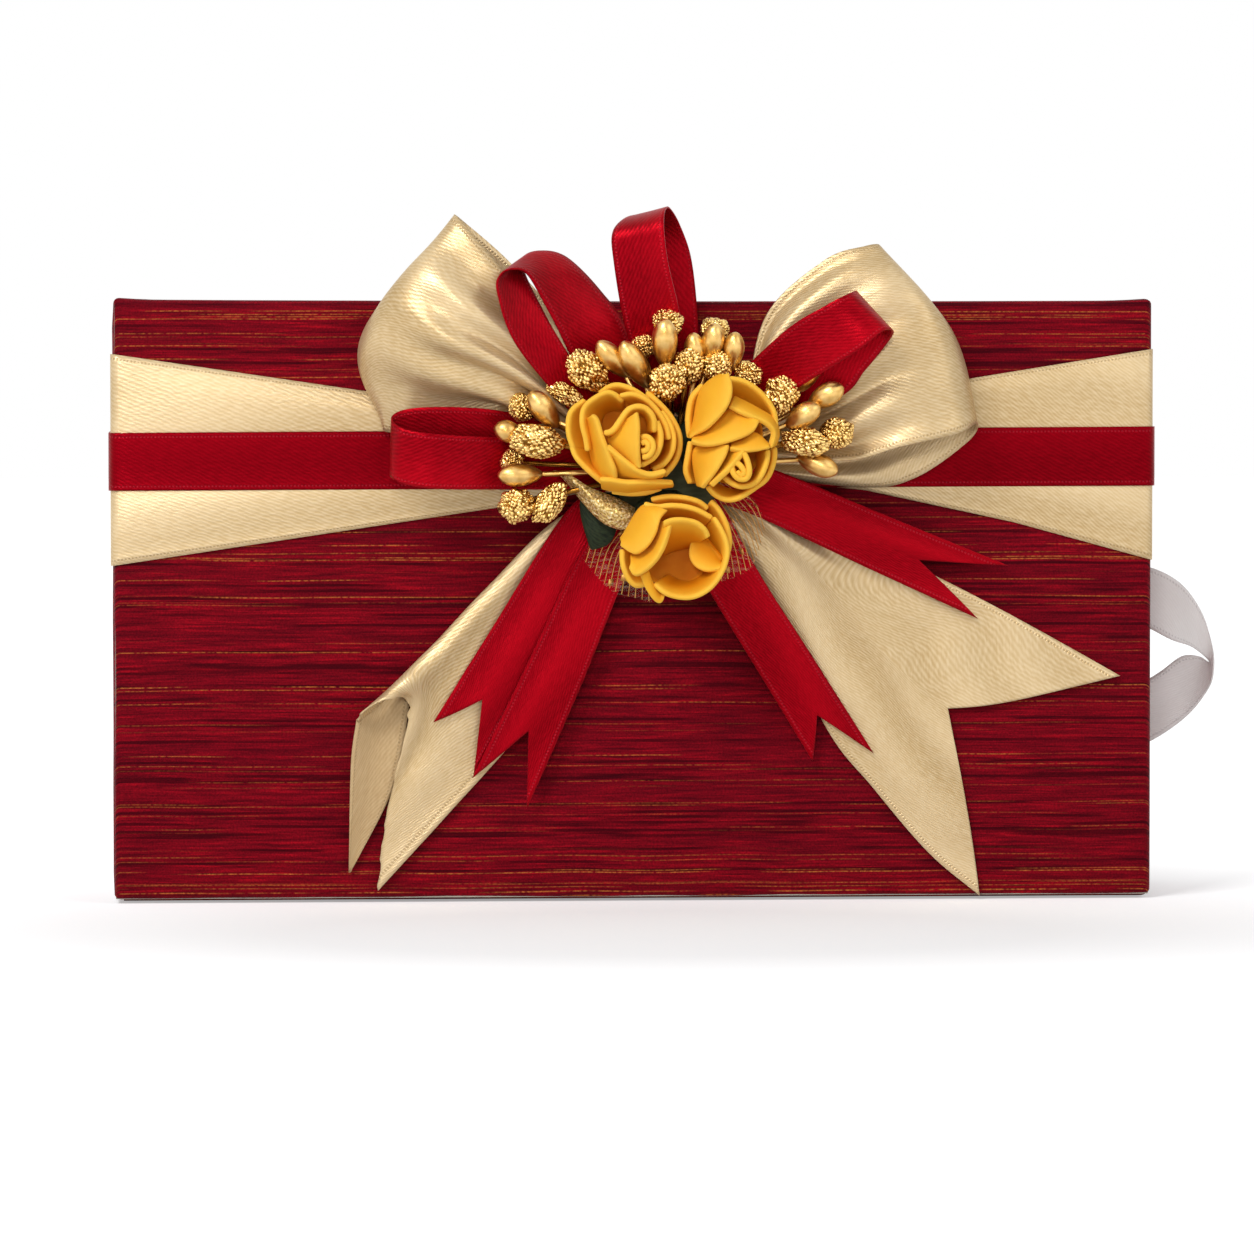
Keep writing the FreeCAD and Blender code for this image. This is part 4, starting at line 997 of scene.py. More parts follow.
FOAM_THICK = 1.15
PETAL_ROWS = 7
PETAL_COLUMNS = 22
BOWL_ROWS = 12
BOWL_COLUMNS = 40
BOWL_REACH = ((0.0, 0.30), (0.25, 0.55), (0.5, 0.76), (0.55, 0.74), (1.0, 0.004))
BOWL_OUT = ((0.0, 15.0), (0.25, 18.5), (0.5, 22.0), (0.55, 21.6), (1.0, 21.2))
# Painted shade along the bowl, from its base over its lip to the middle of its floor.
BOWL_SHADE = ((0.0, 0.3), (0.5, 0.6), (0.55, 0.1), (1.0, 0.0))


class Bloom:
    """One foam rose, built up from petals that each run from a foot line to a rim line."""

    def __init__(self):
        self.mesh = bmesh.new()
        self.depth = self.mesh.verts.layers.float.new("depth")

    def grid(self, rows, columns):
        return bmesh.ops.create_grid(self.mesh, x_segments=rows, y_segments=columns, size=0.5)["verts"]

    def petal(self, foot_shade, belly, rim, foot):
        """A petal between two lines of (along, up, out); its first value is the tone of the painted shade at
        its foot.
        """
        rim, foot = stations_of(rim, foot)
        made = self.grid(PETAL_ROWS, PETAL_COLUMNS)
        for v in made:
            up, across = v.co.x + 0.5, v.co.y + 0.5
            swell = Vector((0, -4 * belly * up * (1 - up), 0)) * MM
            # Painted shade: darker towards the foot, where the petals round it shade it.
            v[self.depth] = foot_shade + (1 - foot_shade) * up ** 1.5
            v.co = through(foot, across).lerp(through(rim, across), up) + swell
            v.co += Vector((0, -1, 0)) * wobble(v.co, 4, 0.3) * up

    def bowl(self, centre, half):
        """The outside of the flower under its petals, closed by the foam floor between them, with painted
        shade: the outside darker towards its base, and the floor between the petals darkest.
        """
        made = self.grid(BOWL_ROWS, BOWL_COLUMNS)
        for v in made:
            along, turn = v.co.x + 0.5, 2 * math.pi * (v.co.y + 0.5)
            reach = level(BOWL_REACH, along)
            x = centre[0] + half[0] * reach * math.cos(turn)
            z = centre[1] + half[1] * reach * math.sin(turn)
            v[self.depth] = level(BOWL_SHADE, along)
            v.co = spot(x, z, level(BOWL_OUT, along))
        bmesh.ops.remove_doubles(self.mesh, verts=made, dist=0.02 * MM)

    def finish(self, name, node):
        thing = piece(self.mesh, name, FOAM, "rose_foam", node)
        thicken(thing, FOAM_THICK)
        soften(thing)


def rose(place, centre, half, petals, heart):
    """One rose: its petals round a bowl, and its rolled heart as a piece of its own."""
    bloom = Bloom()
    for petal in petals:
        bloom.petal(*petal)
    bloom.bowl(centre, half)
    bloom.finish(f"rose_{place}_bloom", f"rose_{place}_petals")
    middle = Bloom()
    for petal in heart:
        middle.petal(*petal)
    middle.finish(f"rose_{place}_heart", f"rose_{place}_centre")


# Each petal: painted shade tone at the foot, belly, rim line and foot line, in millimetres along, up and out
LEFT_PETALS = (
    (0.15, -0.6, ((-14.0, 88.8, 25), (-15.0, 91.8, 25.5), (-15.0, 94.9, 25.5), (-14.1, 96.8, 25.5),
     (-11.7, 98.6, 25)),
     ((-9.9, 88.7, 21), (-10.3, 92.2, 21), (-9.9, 95.1, 21), (-8.4, 96.6, 21))),
    (0.1, -0.8, ((-11.3, 88.4, 27), (-11.7, 90.7, 27.4), (-12.5, 93.8, 27.4), (-12.1, 97.0, 27),
     (-9.4, 99.3, 27), (-6.8, 100.1, 27), (-4.1, 98.2, 26)),
     ((-8.8, 89.5, 22), (-8.4, 93.0, 22), (-7.4, 95.5, 21.5), (-5.7, 96.3, 21.5), (-3.6, 96.4, 22))),
    (0.15, -0.6, ((-9.0, 99.7, 25), (-7.1, 101.1, 25.4), (-5.0, 101.5, 25.4), (-2.1, 100.5, 25.4),
     (1.0, 98.4, 25)),
     ((-6.0, 98.0, 21), (-3.7, 98.2, 21), (-1.8, 97.6, 21), (0.4, 96.4, 21))),
    (0.2, -0.6, ((-5.1, 99.3, 26.8), (-2.6, 99.7, 27), (0.1, 98.6, 27.2), (2.4, 96.3, 27.2),
     (4.1, 93.4, 27.2), (4.7, 90.7, 27)),
     ((-2.2, 97.4, 22), (-0.1, 97.0, 22), (1.6, 95.7, 22), (3.0, 93.2, 22), (3.4, 90.6, 22))),
    (0.3, -0.4, ((0.3, 100.1, 24), (2.8, 98.0, 24.2), (5.5, 94.9, 24.2), (7.1, 91.1, 24.2),
     (6.5, 87.0, 24.2), (3.8, 83.5, 24)),
     ((1.4, 97.6, 20.5), (3.7, 95.5, 20.5), (5.4, 92.6, 20.5), (5.6, 89.5, 20.5), (4.5, 86.4, 20.5),
     (2.5, 84.3, 20.5))),
    (0.2, -0.4, ((3.1, 96.3, 26.2), (4.6, 94.3, 26.4), (5.6, 91.5, 26.4), (5.4, 88.6, 26.4),
     (3.8, 86.1, 26.4), (1.5, 84.7, 26)),
     ((2.3, 95.5, 21.5), (3.8, 93.4, 21.5), (4.4, 90.6, 21.5), (4.0, 88.1, 21.5), (2.5, 86.4, 21.5),
     (1.1, 85.6, 21.5))),
    (0.15, -0.6, ((-14.4, 89.7, 25), (-13.5, 87.4, 25.4), (-11.2, 84.9, 25.4), (-8.7, 82.8, 25.2),
     (-6.1, 81.0, 24.6), (-3.2, 80.2, 24)),
     ((-9.9, 88.3, 21), (-9.1, 86.0, 21), (-7.2, 84.3, 21), (-4.9, 83.1, 21), (-2.2, 82.7, 21))),
    (0.62, 0.5, ((-8.8, 83.4, 27.2), (-6.7, 83.3, 27.4), (-3.6, 82.8, 27.4), (-0.5, 82.9, 27.4),
     (2.4, 82.8, 27), (5.4, 82.6, 26)),
     ((-8.3, 81.6, 23.6), (-6.0, 81.0, 23.4), (-3.1, 80.8, 23.4), (0.4, 81.2, 23.4), (3.1, 81.6, 23.4),
     (5.8, 82.0, 23.6))),
    (0.45, 0.3, ((-6.4, 80.7, 23.8), (-2.8, 80.2, 24), (0.3, 80.4, 24), (3.5, 81.4, 23.6)),
     ((-4.8, 81.4, 20.5), (-1.7, 81.4, 20.5), (1.4, 81.5, 20.5), (2.9, 81.9, 20.5))),
    (0.6, 0.7, ((-10.2, 95.7, 28.4), (-9.3, 94.6, 29), (-8.4, 91.5, 29.4), (-7.0, 88.0, 29.2),
     (-5.8, 85.1, 28.4), (-5.3, 83.2, 26.6)),
     ((-10.9, 95.1, 25.8), (-10.7, 92.6, 24), (-10.4, 89.5, 23), (-9.8, 86.2, 22.6), (-8.1, 83.3, 23.4))),
    (0.6, 0.6, ((-7.6, 89.7, 29), (-6.1, 88.6, 29.4), (-3.9, 86.9, 29.6), (-1.6, 85.1, 29.6),
     (0.9, 84.2, 29.2), (3.9, 84.9, 28.4)),
     ((-7.0, 88.8, 26.6), (-5.9, 86.0, 24.4), (-5.0, 83.3, 23.4), (-2.3, 82.9, 23.4),
     (0.7, 83.1, 23.6), (3.6, 83.7, 24))),
    (0.72, 0.5, ((-1.7, 96.2, 30), (-1.3, 93.8, 30.5), (-1.3, 90.7, 30.6), (-1.3, 87.8, 30.4),
     (-1.0, 85.3, 29.6)),
     ((-4.1, 94.0, 26.8), (-6.4, 91.8, 26), (-7.2, 90.3, 26), (-5.4, 88.4, 26.2), (-2.6, 86.1, 27))),
    (0.2, -0.3, ((-8.3, 92.1, 29.2), (-6.8, 92.4, 29.6), (-5.3, 94.4, 29.8), (-3.8, 96.5, 29.8),
     (-2.0, 97.3, 29.8), (-0.1, 97.0, 29.6), (1.5, 95.1, 29.4), (1.7, 92.1, 29)),
     ((-6.4, 91.3, 26), (-4.5, 93.0, 26), (-2.7, 95.3, 26), (-1.1, 96.1, 25.6), (0.3, 95.1, 25),
     (0.8, 93.4, 25), (0.8, 91.8, 25))),
    (0.2, -0.2, ((2.1, 94.5, 28.6), (2.9, 92.2, 29), (2.8, 89.7, 29), (1.7, 87.4, 29),
     (-0.0, 86.2, 28.8), (-1.0, 85.7, 28.6)),
     ((1.5, 93.6, 24), (2.1, 91.4, 24), (1.9, 89.3, 24), (1.1, 88.0, 24), (-0.3, 86.8, 24))),
)
LEFT_HEART = (
    (0.3, 0.0, ((-1.2, 91.3, 29.8), (0.1, 91.4, 30.2), (1.1, 90.5, 30.4), (1.3, 89.0, 30.4),
     (0.4, 87.6, 30.2), (-0.9, 87.3, 30)),
     ((-0.5, 90.5, 25), (0.4, 90.5, 25), (1.0, 89.7, 25), (0.8, 88.7, 25), (0.1, 88.2, 25),
     (-0.5, 88.2, 25))),
    (0.3, 0.0, ((-1.1, 90.1, 30), (-0.3, 90.4, 30.2), (0.3, 89.8, 30.4), (0.1, 88.8, 30.2),
     (-1.1, 88.5, 30)),
     ((-0.6, 89.7, 25.5), (0.0, 89.8, 25.5), (0.2, 89.3, 25.5), (-0.2, 88.9, 25.5), (-0.6, 88.9, 25.5))),
)
RIGHT_PETALS = (
    (0.45, -0.3, ((11.3, 101.5, 25), (9.1, 99.2, 25.4), (8.3, 96.3, 25.4), (8.2, 93.4, 25.2),
     (8.6, 90.9, 24.6)),
     ((12.1, 99.9, 22), (10.9, 98.0, 22), (10.4, 95.3, 22), (10.2, 92.6, 22))),
    (0.7, 0.9, ((15.8, 103.5, 29), (16.5, 101.7, 30), (16.5, 99.4, 30.6), (15.6, 97.1, 30.8),
     (13.9, 94.9, 30.4), (11.5, 92.6, 29), (8.6, 91.0, 26.6)),
     ((14.8, 103.1, 26.8), (12.4, 102.0, 25.6), (10.7, 100.1, 24.6), (10.0, 97.2, 24), (9.6, 94.1, 24),
     (8.7, 91.2, 24))),
    (0.6, 0.6, ((8.6, 90.3, 28.6), (10.5, 89.6, 29.2), (13.0, 89.5, 29.6), (16.1, 90.2, 29.8),
     (19.2, 91.3, 29.8), (21.0, 92.6, 29.4), (21.6, 94.5, 28.8)),
     ((9.1, 90.9, 25.8), (11.4, 91.8, 25.8), (13.3, 93.6, 26), (14.9, 95.5, 26), (16.4, 96.5, 26.4),
     (19.0, 95.5, 27), (21.3, 94.9, 28))),
    (0.1, -0.8, ((16.2, 102.8, 26.2), (18.7, 102.4, 26.4), (21.4, 100.9, 26.4), (23.7, 98.6, 26.4),
     (25.1, 95.9, 26.2), (25.4, 92.6, 26)),
     ((17.5, 98.8, 22), (19.9, 97.6, 22), (22.0, 96.4, 22), (24.2, 95.3, 22), (24.9, 93.7, 22))),
    (0.62, 0.5, ((15.9, 96.9, 28.8), (18.1, 95.8, 29.2), (20.8, 94.7, 29.2), (23.1, 93.7, 28.8),
     (24.5, 92.0, 28.2), (23.8, 89.1, 28)),
     ((17.1, 99.0, 25.4), (19.6, 97.8, 25.4), (22.3, 96.3, 25.4), (24.7, 94.7, 25), (25.8, 92.0, 24.6),
     (25.0, 89.5, 25))),
    (0.55, 0.3, ((16.1, 88.8, 29), (18.3, 88.4, 29.4), (21.1, 88.4, 29.4), (23.9, 89.1, 29)),
     ((16.7, 89.7, 26.8), (18.7, 90.7, 26.8), (21.1, 92.1, 27.4), (23.6, 89.5, 27.8))),
    (0.7, 0.8, ((16.1, 89.7, 29.2), (15.5, 87.8, 29.8), (14.2, 85.5, 29.8), (12.7, 83.4, 29.2),
     (10.9, 81.4, 28)),
     ((13.2, 89.3, 25.4), (10.7, 89.5, 24.6), (9.4, 88.3, 23.8), (9.7, 85.3, 23.6), (10.6, 81.6, 24.4))),
    (0.6, 0.4, ((19.2, 88.5, 29.6), (17.6, 86.7, 29.8), (15.9, 84.9, 29.8), (14.2, 83.4, 29.4),
     (12.6, 81.9, 28.6)),
     ((16.6, 88.7, 26), (15.8, 86.8, 26), (14.1, 84.3, 26), (12.2, 82.0, 26))),
    (0.1, -0.6, ((14.8, 83.8, 27.4), (16.5, 82.3, 27.8), (18.6, 81.6, 28), (20.9, 82.2, 28),
     (22.6, 84.1, 28), (23.6, 86.8, 28), (23.8, 89.0, 27.6)),
     ((16.9, 83.9, 23), (18.1, 82.8, 23), (19.8, 82.5, 23), (21.4, 83.7, 23), (22.1, 85.8, 23),
     (22.1, 88.1, 23))),
    (0.2, -0.6, ((11.8, 81.8, 26), (13.3, 80.0, 26.2), (15.8, 78.9, 26.2), (18.4, 79.5, 26.2),
     (21.3, 81.4, 26.2), (23.8, 83.3, 26), (25.2, 87.0, 25.6), (25.2, 89.5, 25.2)),
     ((14.3, 82.1, 22), (16.2, 81.2, 22), (18.7, 81.0, 22), (21.1, 81.9, 22), (23.0, 83.9, 22),
     (24.2, 86.6, 22), (24.2, 88.5, 22))),
    (0.35, -0.3, ((8.8, 90.5, 25), (8.2, 87.6, 25.2), (7.8, 84.7, 25), (8.8, 82.2, 24.4)),
     ((10.1, 89.7, 21), (9.9, 87.0, 21), (9.9, 84.6, 21), (10.8, 82.3, 21))),
)
RIGHT_HEART = (
    (0.3, 0.0, ((18.8, 88.4, 29.8), (19.6, 86.5, 30.2), (19.9, 84.4, 30.2), (19.2, 83.1, 30),
     (17.6, 83.2, 30), (16.6, 84.4, 29.8), (16.4, 85.5, 29.6)),
     ((19.0, 87.2, 25), (19.4, 86.0, 25), (19.6, 84.7, 25), (19.0, 83.9, 25), (18.3, 84.1, 25),
     (17.7, 84.9, 25))),
    (0.3, 0.0, ((17.2, 86.5, 29.8), (18.2, 85.7, 30), (18.9, 84.4, 30), (18.2, 83.8, 29.8),
     (17.3, 84.7, 29.6)),
     ((18.0, 86.0, 25.5), (18.6, 85.3, 25.5), (18.8, 84.5, 25.5), (18.4, 84.4, 25.5))),
)
LOWER_PETALS = (
    (0.7, 0.8, ((4.4, 77.0, 26.8), (2.9, 75.5, 28.4), (2.2, 73.2, 29.2), (1.1, 71.1, 29.2),
     (-0.4, 69.4, 28.6), (-2.2, 68.6, 27.4), (-4.6, 70.4, 25)),
     ((1.4, 77.8, 25), (-0.3, 78.0, 24.6), (-1.6, 76.6, 24), (-2.9, 74.3, 23.6), (-4.4, 71.3, 23))),
    (0.62, 0.7, ((5.2, 74.9, 29), (4.3, 72.5, 30), (3.3, 69.8, 30.2), (1.8, 67.3, 30),
     (-0.3, 65.3, 29.4), (-2.1, 64.4, 28.2), (-3.0, 66.0, 27)),
     ((3.3, 75.1, 26), (2.7, 72.6, 26), (1.4, 70.2, 25.4), (-0.7, 68.9, 25), (-2.8, 68.3, 25))),
    (0.2, -0.3, ((-4.5, 69.7, 25), (-4.4, 66.8, 25.4), (-3.4, 64.1, 25.4), (-1.7, 62.5, 25.2),
     (0.5, 62.9, 25)),
     ((-2.5, 69.0, 21), (-2.3, 66.7, 21), (-1.6, 64.5, 21), (0.4, 63.7, 21))),
    (0.55, 0.4, ((-0.9, 64.9, 27), (0.3, 62.0, 27), (1.9, 59.6, 26.6), (3.1, 59.4, 26.2), (4.1, 61.3, 26)),
     ((0.4, 65.7, 27.4), (1.0, 63.5, 26.8), (2.4, 61.5, 25.4), (3.4, 61.1, 24.6))),
    (0.02, -0.9, ((1.4, 63.0, 27.6), (3.5, 61.1, 28.2), (6.4, 60.2, 28.6), (9.4, 60.3, 28.8),
     (12.5, 62.0, 29), (14.8, 65.1, 29), (15.9, 68.6, 29), (15.4, 72.0, 28.8), (13.2, 76.1, 28)),
     ((4.8, 64.7, 22), (6.6, 63.7, 21.4), (9.1, 63.5, 21), (11.4, 64.7, 21), (13.0, 67.0, 21),
     (13.4, 69.7, 21), (12.6, 72.3, 21.4), (11.4, 74.0, 22))),
    (0.4, -0.3, ((-0.4, 78.5, 26), (2.1, 77.9, 26.6), (4.7, 78.2, 27), (7.6, 78.0, 27.2),
     (10.3, 77.2, 27.2), (13.1, 75.7, 27)),
     ((2.1, 76.6, 23.6), (4.4, 76.6, 23.6), (7.0, 76.4, 23.6), (9.5, 75.8, 23.6), (12.0, 74.2, 23.6))),
    (0.3, -0.3, ((12.8, 79.1, 25), (14.4, 77.4, 25.2), (15.9, 74.5, 25.2), (16.6, 71.4, 25.2),
     (16.3, 68.9, 25)),
     ((12.2, 77.3, 21), (13.8, 75.1, 21), (14.9, 72.8, 21), (15.3, 70.1, 21))),
    (0.25, -0.3, ((1.1, 79.3, 24.4), (4.2, 79.9, 24.6), (7.6, 79.7, 24.6), (10.6, 78.9, 24.6),
     (12.5, 77.5, 24.4)),
     ((3.3, 77.3, 21), (6.0, 77.7, 21), (8.7, 77.3, 21), (11.4, 75.9, 21))),
)
LOWER_HEART = (
    (0, -0.5, ((3.2, 75.0, 29.8), (4.7, 75.6, 30.6), (6.9, 75.7, 30.8), (9.6, 75.1, 30.8),
     (11.4, 73.6, 30.4), (12.1, 72.0, 29.8)),
     ((3.6, 68.2, 22.4), (5.4, 69.0, 21.6), (7.5, 69.5, 21.4), (9.1, 69.9, 21.4), (10.2, 70.7, 21.8))),
    (0.25, -0.6, ((9.1, 71.3, 23.6), (8.6, 68.5, 24.4), (9.5, 66.4, 25.2), (11.4, 65.3, 26),
     (13.3, 65.3, 27), (14.7, 65.8, 28)),
     ((11.1, 72.7, 25), (12.4, 71.4, 25.6), (13.7, 69.7, 26.6), (14.9, 67.8, 28))),
)

rose("left", (-4.0, 90.9), (10.6, 10.4), LEFT_PETALS, LEFT_HEART)
rose("right", (16.6, 91.0), (8.6, 11.6), RIGHT_PETALS, RIGHT_HEART)
rose("lower", (6.0, 69.6), (10.2, 9.8), LOWER_PETALS, LOWER_HEART)


def aim(centre, direction):
    """A matrix that stands a shape's own height along a direction at a point."""
    return Matrix.Translation(centre) @ direction.to_track_quat("Z", "Y").to_matrix().to_4x4()


STALK_HALF = 0.6 * MM
STALK_TAPER = 0.8
STALK_REACH = 5.5
STALK_SUNK = 0.6


def on_stalk(mesh, tip, base, sunk):
    """The two ends of a bud or berry, with the stalk that carries it from the spray's pad."""
    way = Vector((base[0] - SPRAY.x, 0, base[1] - SPRAY.z)).normalized() * STALK_REACH
    root = spot(SPRAY.x + way.x, SPRAY.z + way.z, PAD_OUT - STALK_SUNK)
    tip, base = spot(*tip), spot(*base)
    end = base.lerp(tip, sunk)
    bmesh.ops.create_cone(
        mesh, cap_ends=True, segments=8, radius1=STALK_HALF, radius2=STALK_HALF * STALK_TAPER,
        depth=(end - root).length, matrix=aim((root + end) / 2, end - root),
    )
    return tip, base


BEADS = 250
BEAD_REACH = 0.155
BEAD_STRAY = 0.06
BEAD_RISE = 0.13
BERRY_CORE = 0.88
BERRY_LUMPS = 0.2
BERRY_TAPER = 0.08
BERRY_SUNK = 0.3
BUD_SUNK = 0.2
BUD_TAPER = 0.22
BUD_ROUND = 0.08
BUD_POINT = 0.07


def bead_tree():
    """Points spread evenly over a unit ball, as the seats of a berry's beads."""
    tree = kdtree.KDTree(BEADS)
    for i in range(BEADS):
        z = 1 - 2 * (i + 0.5) / BEADS
        turn = i * math.pi * (3 - math.sqrt(5))
        flat = math.sqrt(1 - z * z)
        seat = Vector((flat * math.cos(turn), flat * math.sin(turn), z))
        seat += Vector([random.uniform(-BEAD_STRAY, BEAD_STRAY) for axis in range(3)])
        tree.insert(seat.normalized(), i)
    tree.balance()
    return tree


BEAD_SEATS = bead_tree()


def bud_group(name, node, places):
    """Smooth gold buds, each a long drop on its own stalk: tip, base and half width."""
    mesh = bmesh.new()
    for tip, base, half in places:
        tip, base = on_stalk(mesh, tip, base, BUD_SUNK)
        made = bmesh.ops.create_uvsphere(mesh, u_segments=24, v_segments=18, radius=1)["verts"]
        long_half = (tip - base).length / 2
        for v in made:
            t = v.co.z
            wide = half * MM * (1 + BUD_TAPER * t - BUD_ROUND * t * t)
            high = (t + BUD_POINT * max(0.0, t) ** 6) * long_half
            v.co = Vector((v.co.x * wide, v.co.y * wide, high))
        bmesh.ops.transform(mesh, matrix=aim((tip + base) / 2, tip - base), verts=made)
    piece(mesh, name, BUD_GOLD, "bud_gold", node)


def berry_group(name, node, places):
    """Beaded gold berries: drops crusted all over with small beads."""
    mesh = bmesh.new()
    depth = mesh.verts.layers.float.new("depth")
    for tip, base, half in places:
        tip, base = on_stalk(mesh, tip, base, BERRY_SUNK)
        made = bmesh.ops.create_icosphere(mesh, subdivisions=6, radius=1)["verts"]
        long_half = (tip - base).length / 2
        lump = random.uniform(0, 50)
        for v in made:
            unit = v.co.copy()
            number, away = BEAD_SEATS.find(unit)[1:]
            size = BEAD_REACH * (0.82 + 0.3 * noise.cell(Vector((number * 1.7, lump, 0.5))))
            bead = math.sqrt(max(0.0, 1 - (away / size) ** 2))
            uneven = noise.noise(unit * 2.4 + Vector((lump, 0, 0)))
            swell = BERRY_CORE + BEAD_RISE * bead + BERRY_LUMPS * uneven
            wide = half * MM * swell * (1 + BERRY_TAPER * unit.z)
            # Painted shade: each bead's height is kept, so the hollows between beads are painted darker.
            v[depth] = bead
            v.co = Vector((unit.x * wide, unit.y * wide, unit.z * long_half * swell))
        bmesh.ops.transform(mesh, matrix=aim((tip + base) / 2, tip - base), verts=made)
    piece(mesh, name, BERRY_GOLD, "berry_gold", node)


bud_group("buds_top", "smooth_buds_top", (
    ((-8.6, 109.4, 20.5), (-2.5, 102.8, 17.5), 2.2),
    ((-3.9, 109.3, 21.5), (1.4, 100.7, 17.5), 2.45),
    ((4.2, 113.7, 22), (4.3, 104.6, 18.5), 2.5),
    ((9.8, 111.1, 19.5), (11.0, 104.0, 17), 2.05),
    ((14.2, 112.9, 20.5), (13.1, 105.5, 17.5), 2.2),
    ((18.1, 111.2, 20), (17.2, 104.0, 17), 2.1),
))
bud_group("buds_left", "smooth_buds_left", (
    ((-21.7, 99.7, 20.5), (-16.3, 93.1, 18.5), 2.35),
    ((-28.5, 93.1, 19), (-22.9, 91.2, 17.5), 2.1),
    ((-27.8, 83.8, 20), (-19.2, 84.0, 18), 2.25),
))
bud_group("buds_right", "smooth_buds_right", (
    ((33.8, 106.9, 19.5), (30.5, 99.9, 17), 2.3),
    ((38.7, 100.9, 20.5), (32.3, 97.2, 18), 2.3),
    ((34.1, 97.3, 21.5), (27.9, 93.1, 19), 2.25),
    ((37.9, 84.4, 18.5), (30.3, 87.5, 16.5), 2.2),
))
berry_group("berries_top", "beaded_berries_top", (
    ((-14.0, 107.3, 18.5), (-6.9, 100.7, 17), 3.3),
    ((0.4, 111.0, 15), (0.9, 106.7, 14), 2.6),
    ((5.2, 116.0, 16.5), (5.1, 110.8, 15), 3.1),
    ((4.2, 104.9, 24), (5.1, 98.4, 21), 3.45),
    ((9.9, 108.2, 20), (8.1, 101.5, 18.5), 3),
    ((14.6, 114.3, 16), (14.1, 109.1, 15), 2.8),
    ((14.4, 107.7, 20), (14.6, 101.9, 18), 2.9),
    ((21.5, 105.9, 17), (20.2, 100.5, 16.5), 2.8),
))
berry_group("berries_left", "beaded_berries_left", (
    ((-18.4, 101.7, 16.5), (-11.2, 97.4, 16.5), 2),
    ((-24.2, 99.5, 16), (-22.2, 94.3, 15.5), 2.6),
    ((-25.6, 91.0, 21), (-15.1, 89.7, 20), 3.2),
    ((-26.9, 87.7, 16), (-23.2, 85.6, 15.5), 2.5),
    ((-27.4, 76.3, 19), (-21.3, 79.8, 17.5), 3.3),
    ((-20.6, 74.9, 18.5), (-15.2, 82.1, 18), 2.6),
))
berry_group("berries_right", "beaded_berries_right", (
    ((27.2, 106.3, 16), (26.9, 101.5, 15.5), 2.6),
    ((27.2, 102.8, 20), (26.9, 95.7, 18.5), 3.4),
    ((36.2, 89.5, 20.5), (26.8, 91.0, 18.5), 2.8),
    ((41.1, 92.5, 18), (34.8, 91.4, 17), 3),
))


LEAF_WIDTH = 10.0
LEAF_THICK = 0.25


def leaf_sheet(name, finish, slot, node, cut, *rows):
    """A leaf cut from cloth or foil, pointed at both ends."""
    ribbon(
        name, stations_of(*rows), LEAF_WIDTH, 24, 12, finish, slot, [node],
        thick=LEAF_THICK, uneven=0.4, cut=cut,
    )


leaf_sheet(
    "green_leaf_lower", LEAF, "leaf_cloth", "green_leaves", 0.6,
    [(-5.0, 80.5, 12.6), (-4.0, 80.0, 12.6)],
    [(-11.0, 79.8, 13.0), (-8.0, 75.5, 13.4), (-4.5, 73.8, 13.0)],
    [(-11.5, 75.5, 12.4), (-9.5, 72.0, 13.0), (-6.0, 70.5, 12.4)],
    [(-9.6, 69.6, 11.6), (-9.2, 69.2, 11.6)],
)
leaf_sheet(
    "gold_glitter_leaf", GLITTER, "glitter_foil", "gold_leaf", 0.55,
    [(-17.0, 84.6, 13.4), (-15.6, 83.6, 13.4)],
    [(-14.4, 84.2, 15.4), (-12.0, 81.4, 17.2), (-11.2, 78.4, 15.2)],
    [(-9.8, 81.2, 17.2), (-7.8, 77.6, 19.2), (-7.2, 74.4, 17.0)],
    [(-4.6, 79.2, 17.6), (-2.8, 76.2, 19.6), (-2.8, 73.2, 17.6)],
    [(-0.6, 77.0, 17.0), (0.2, 75.4, 17.0)],
)


NET_WIDTH = 20.0
FILM_THICK = 0.06
THREAD_HALF = 0.09 * MM
THREAD_LAP = 1.04
SEQUIN = Matrix.Diagonal((1.2 * MM, 0.2 * MM, 1.3 * MM, 1))


def net(name, node, threads, sequins, *rows):
    """Sheer net: a clear film with parallel gold threads and a few small square sequins."""
    stations = stations_of(*rows)
    mesh = bmesh.new()
    lay_grid(mesh, 16, 12, lambda along, across: patch(stations, along, across), NET_WIDTH)
    film = piece(mesh, name + "_film", FILM, "gold_net", node)
    thicken(film, FILM_THICK)
    flat = (NET_WIDTH * MM, centre_length(stations) * MM)
    lines = bmesh.new()
    for i in range(threads):
        points = [patch(stations, along, (i + 0.5) / threads) for along in spaced(0.02, 0.98, 10)]
        for first, last in zip(points, points[1:]):
            way = last - first
            bmesh.ops.create_cone(
                lines, segments=5, radius1=THREAD_HALF, radius2=THREAD_HALF, depth=way.length * THREAD_LAP,
                matrix=aim((first + last) / 2, way),
            )
    for i in range(sequins):
        along, across = random.uniform(0.25, 0.98), (random.randrange(threads) + 0.5) / threads
        way = patch(stations, min(along + 0.02, 1), across) - patch(stations, along - 0.02, across)
        made = bmesh.ops.create_cube(lines, size=1)["verts"]
        spin = Matrix.Rotation(random.uniform(-0.4, 0.4), 4, "Z")
        seat = aim(patch(stations, along, across), way)
        bmesh.ops.transform(lines, matrix=seat @ spin @ SEQUIN, verts=made)
    piece(lines, name + "_threads", THREAD_GOLD, "gold_net")


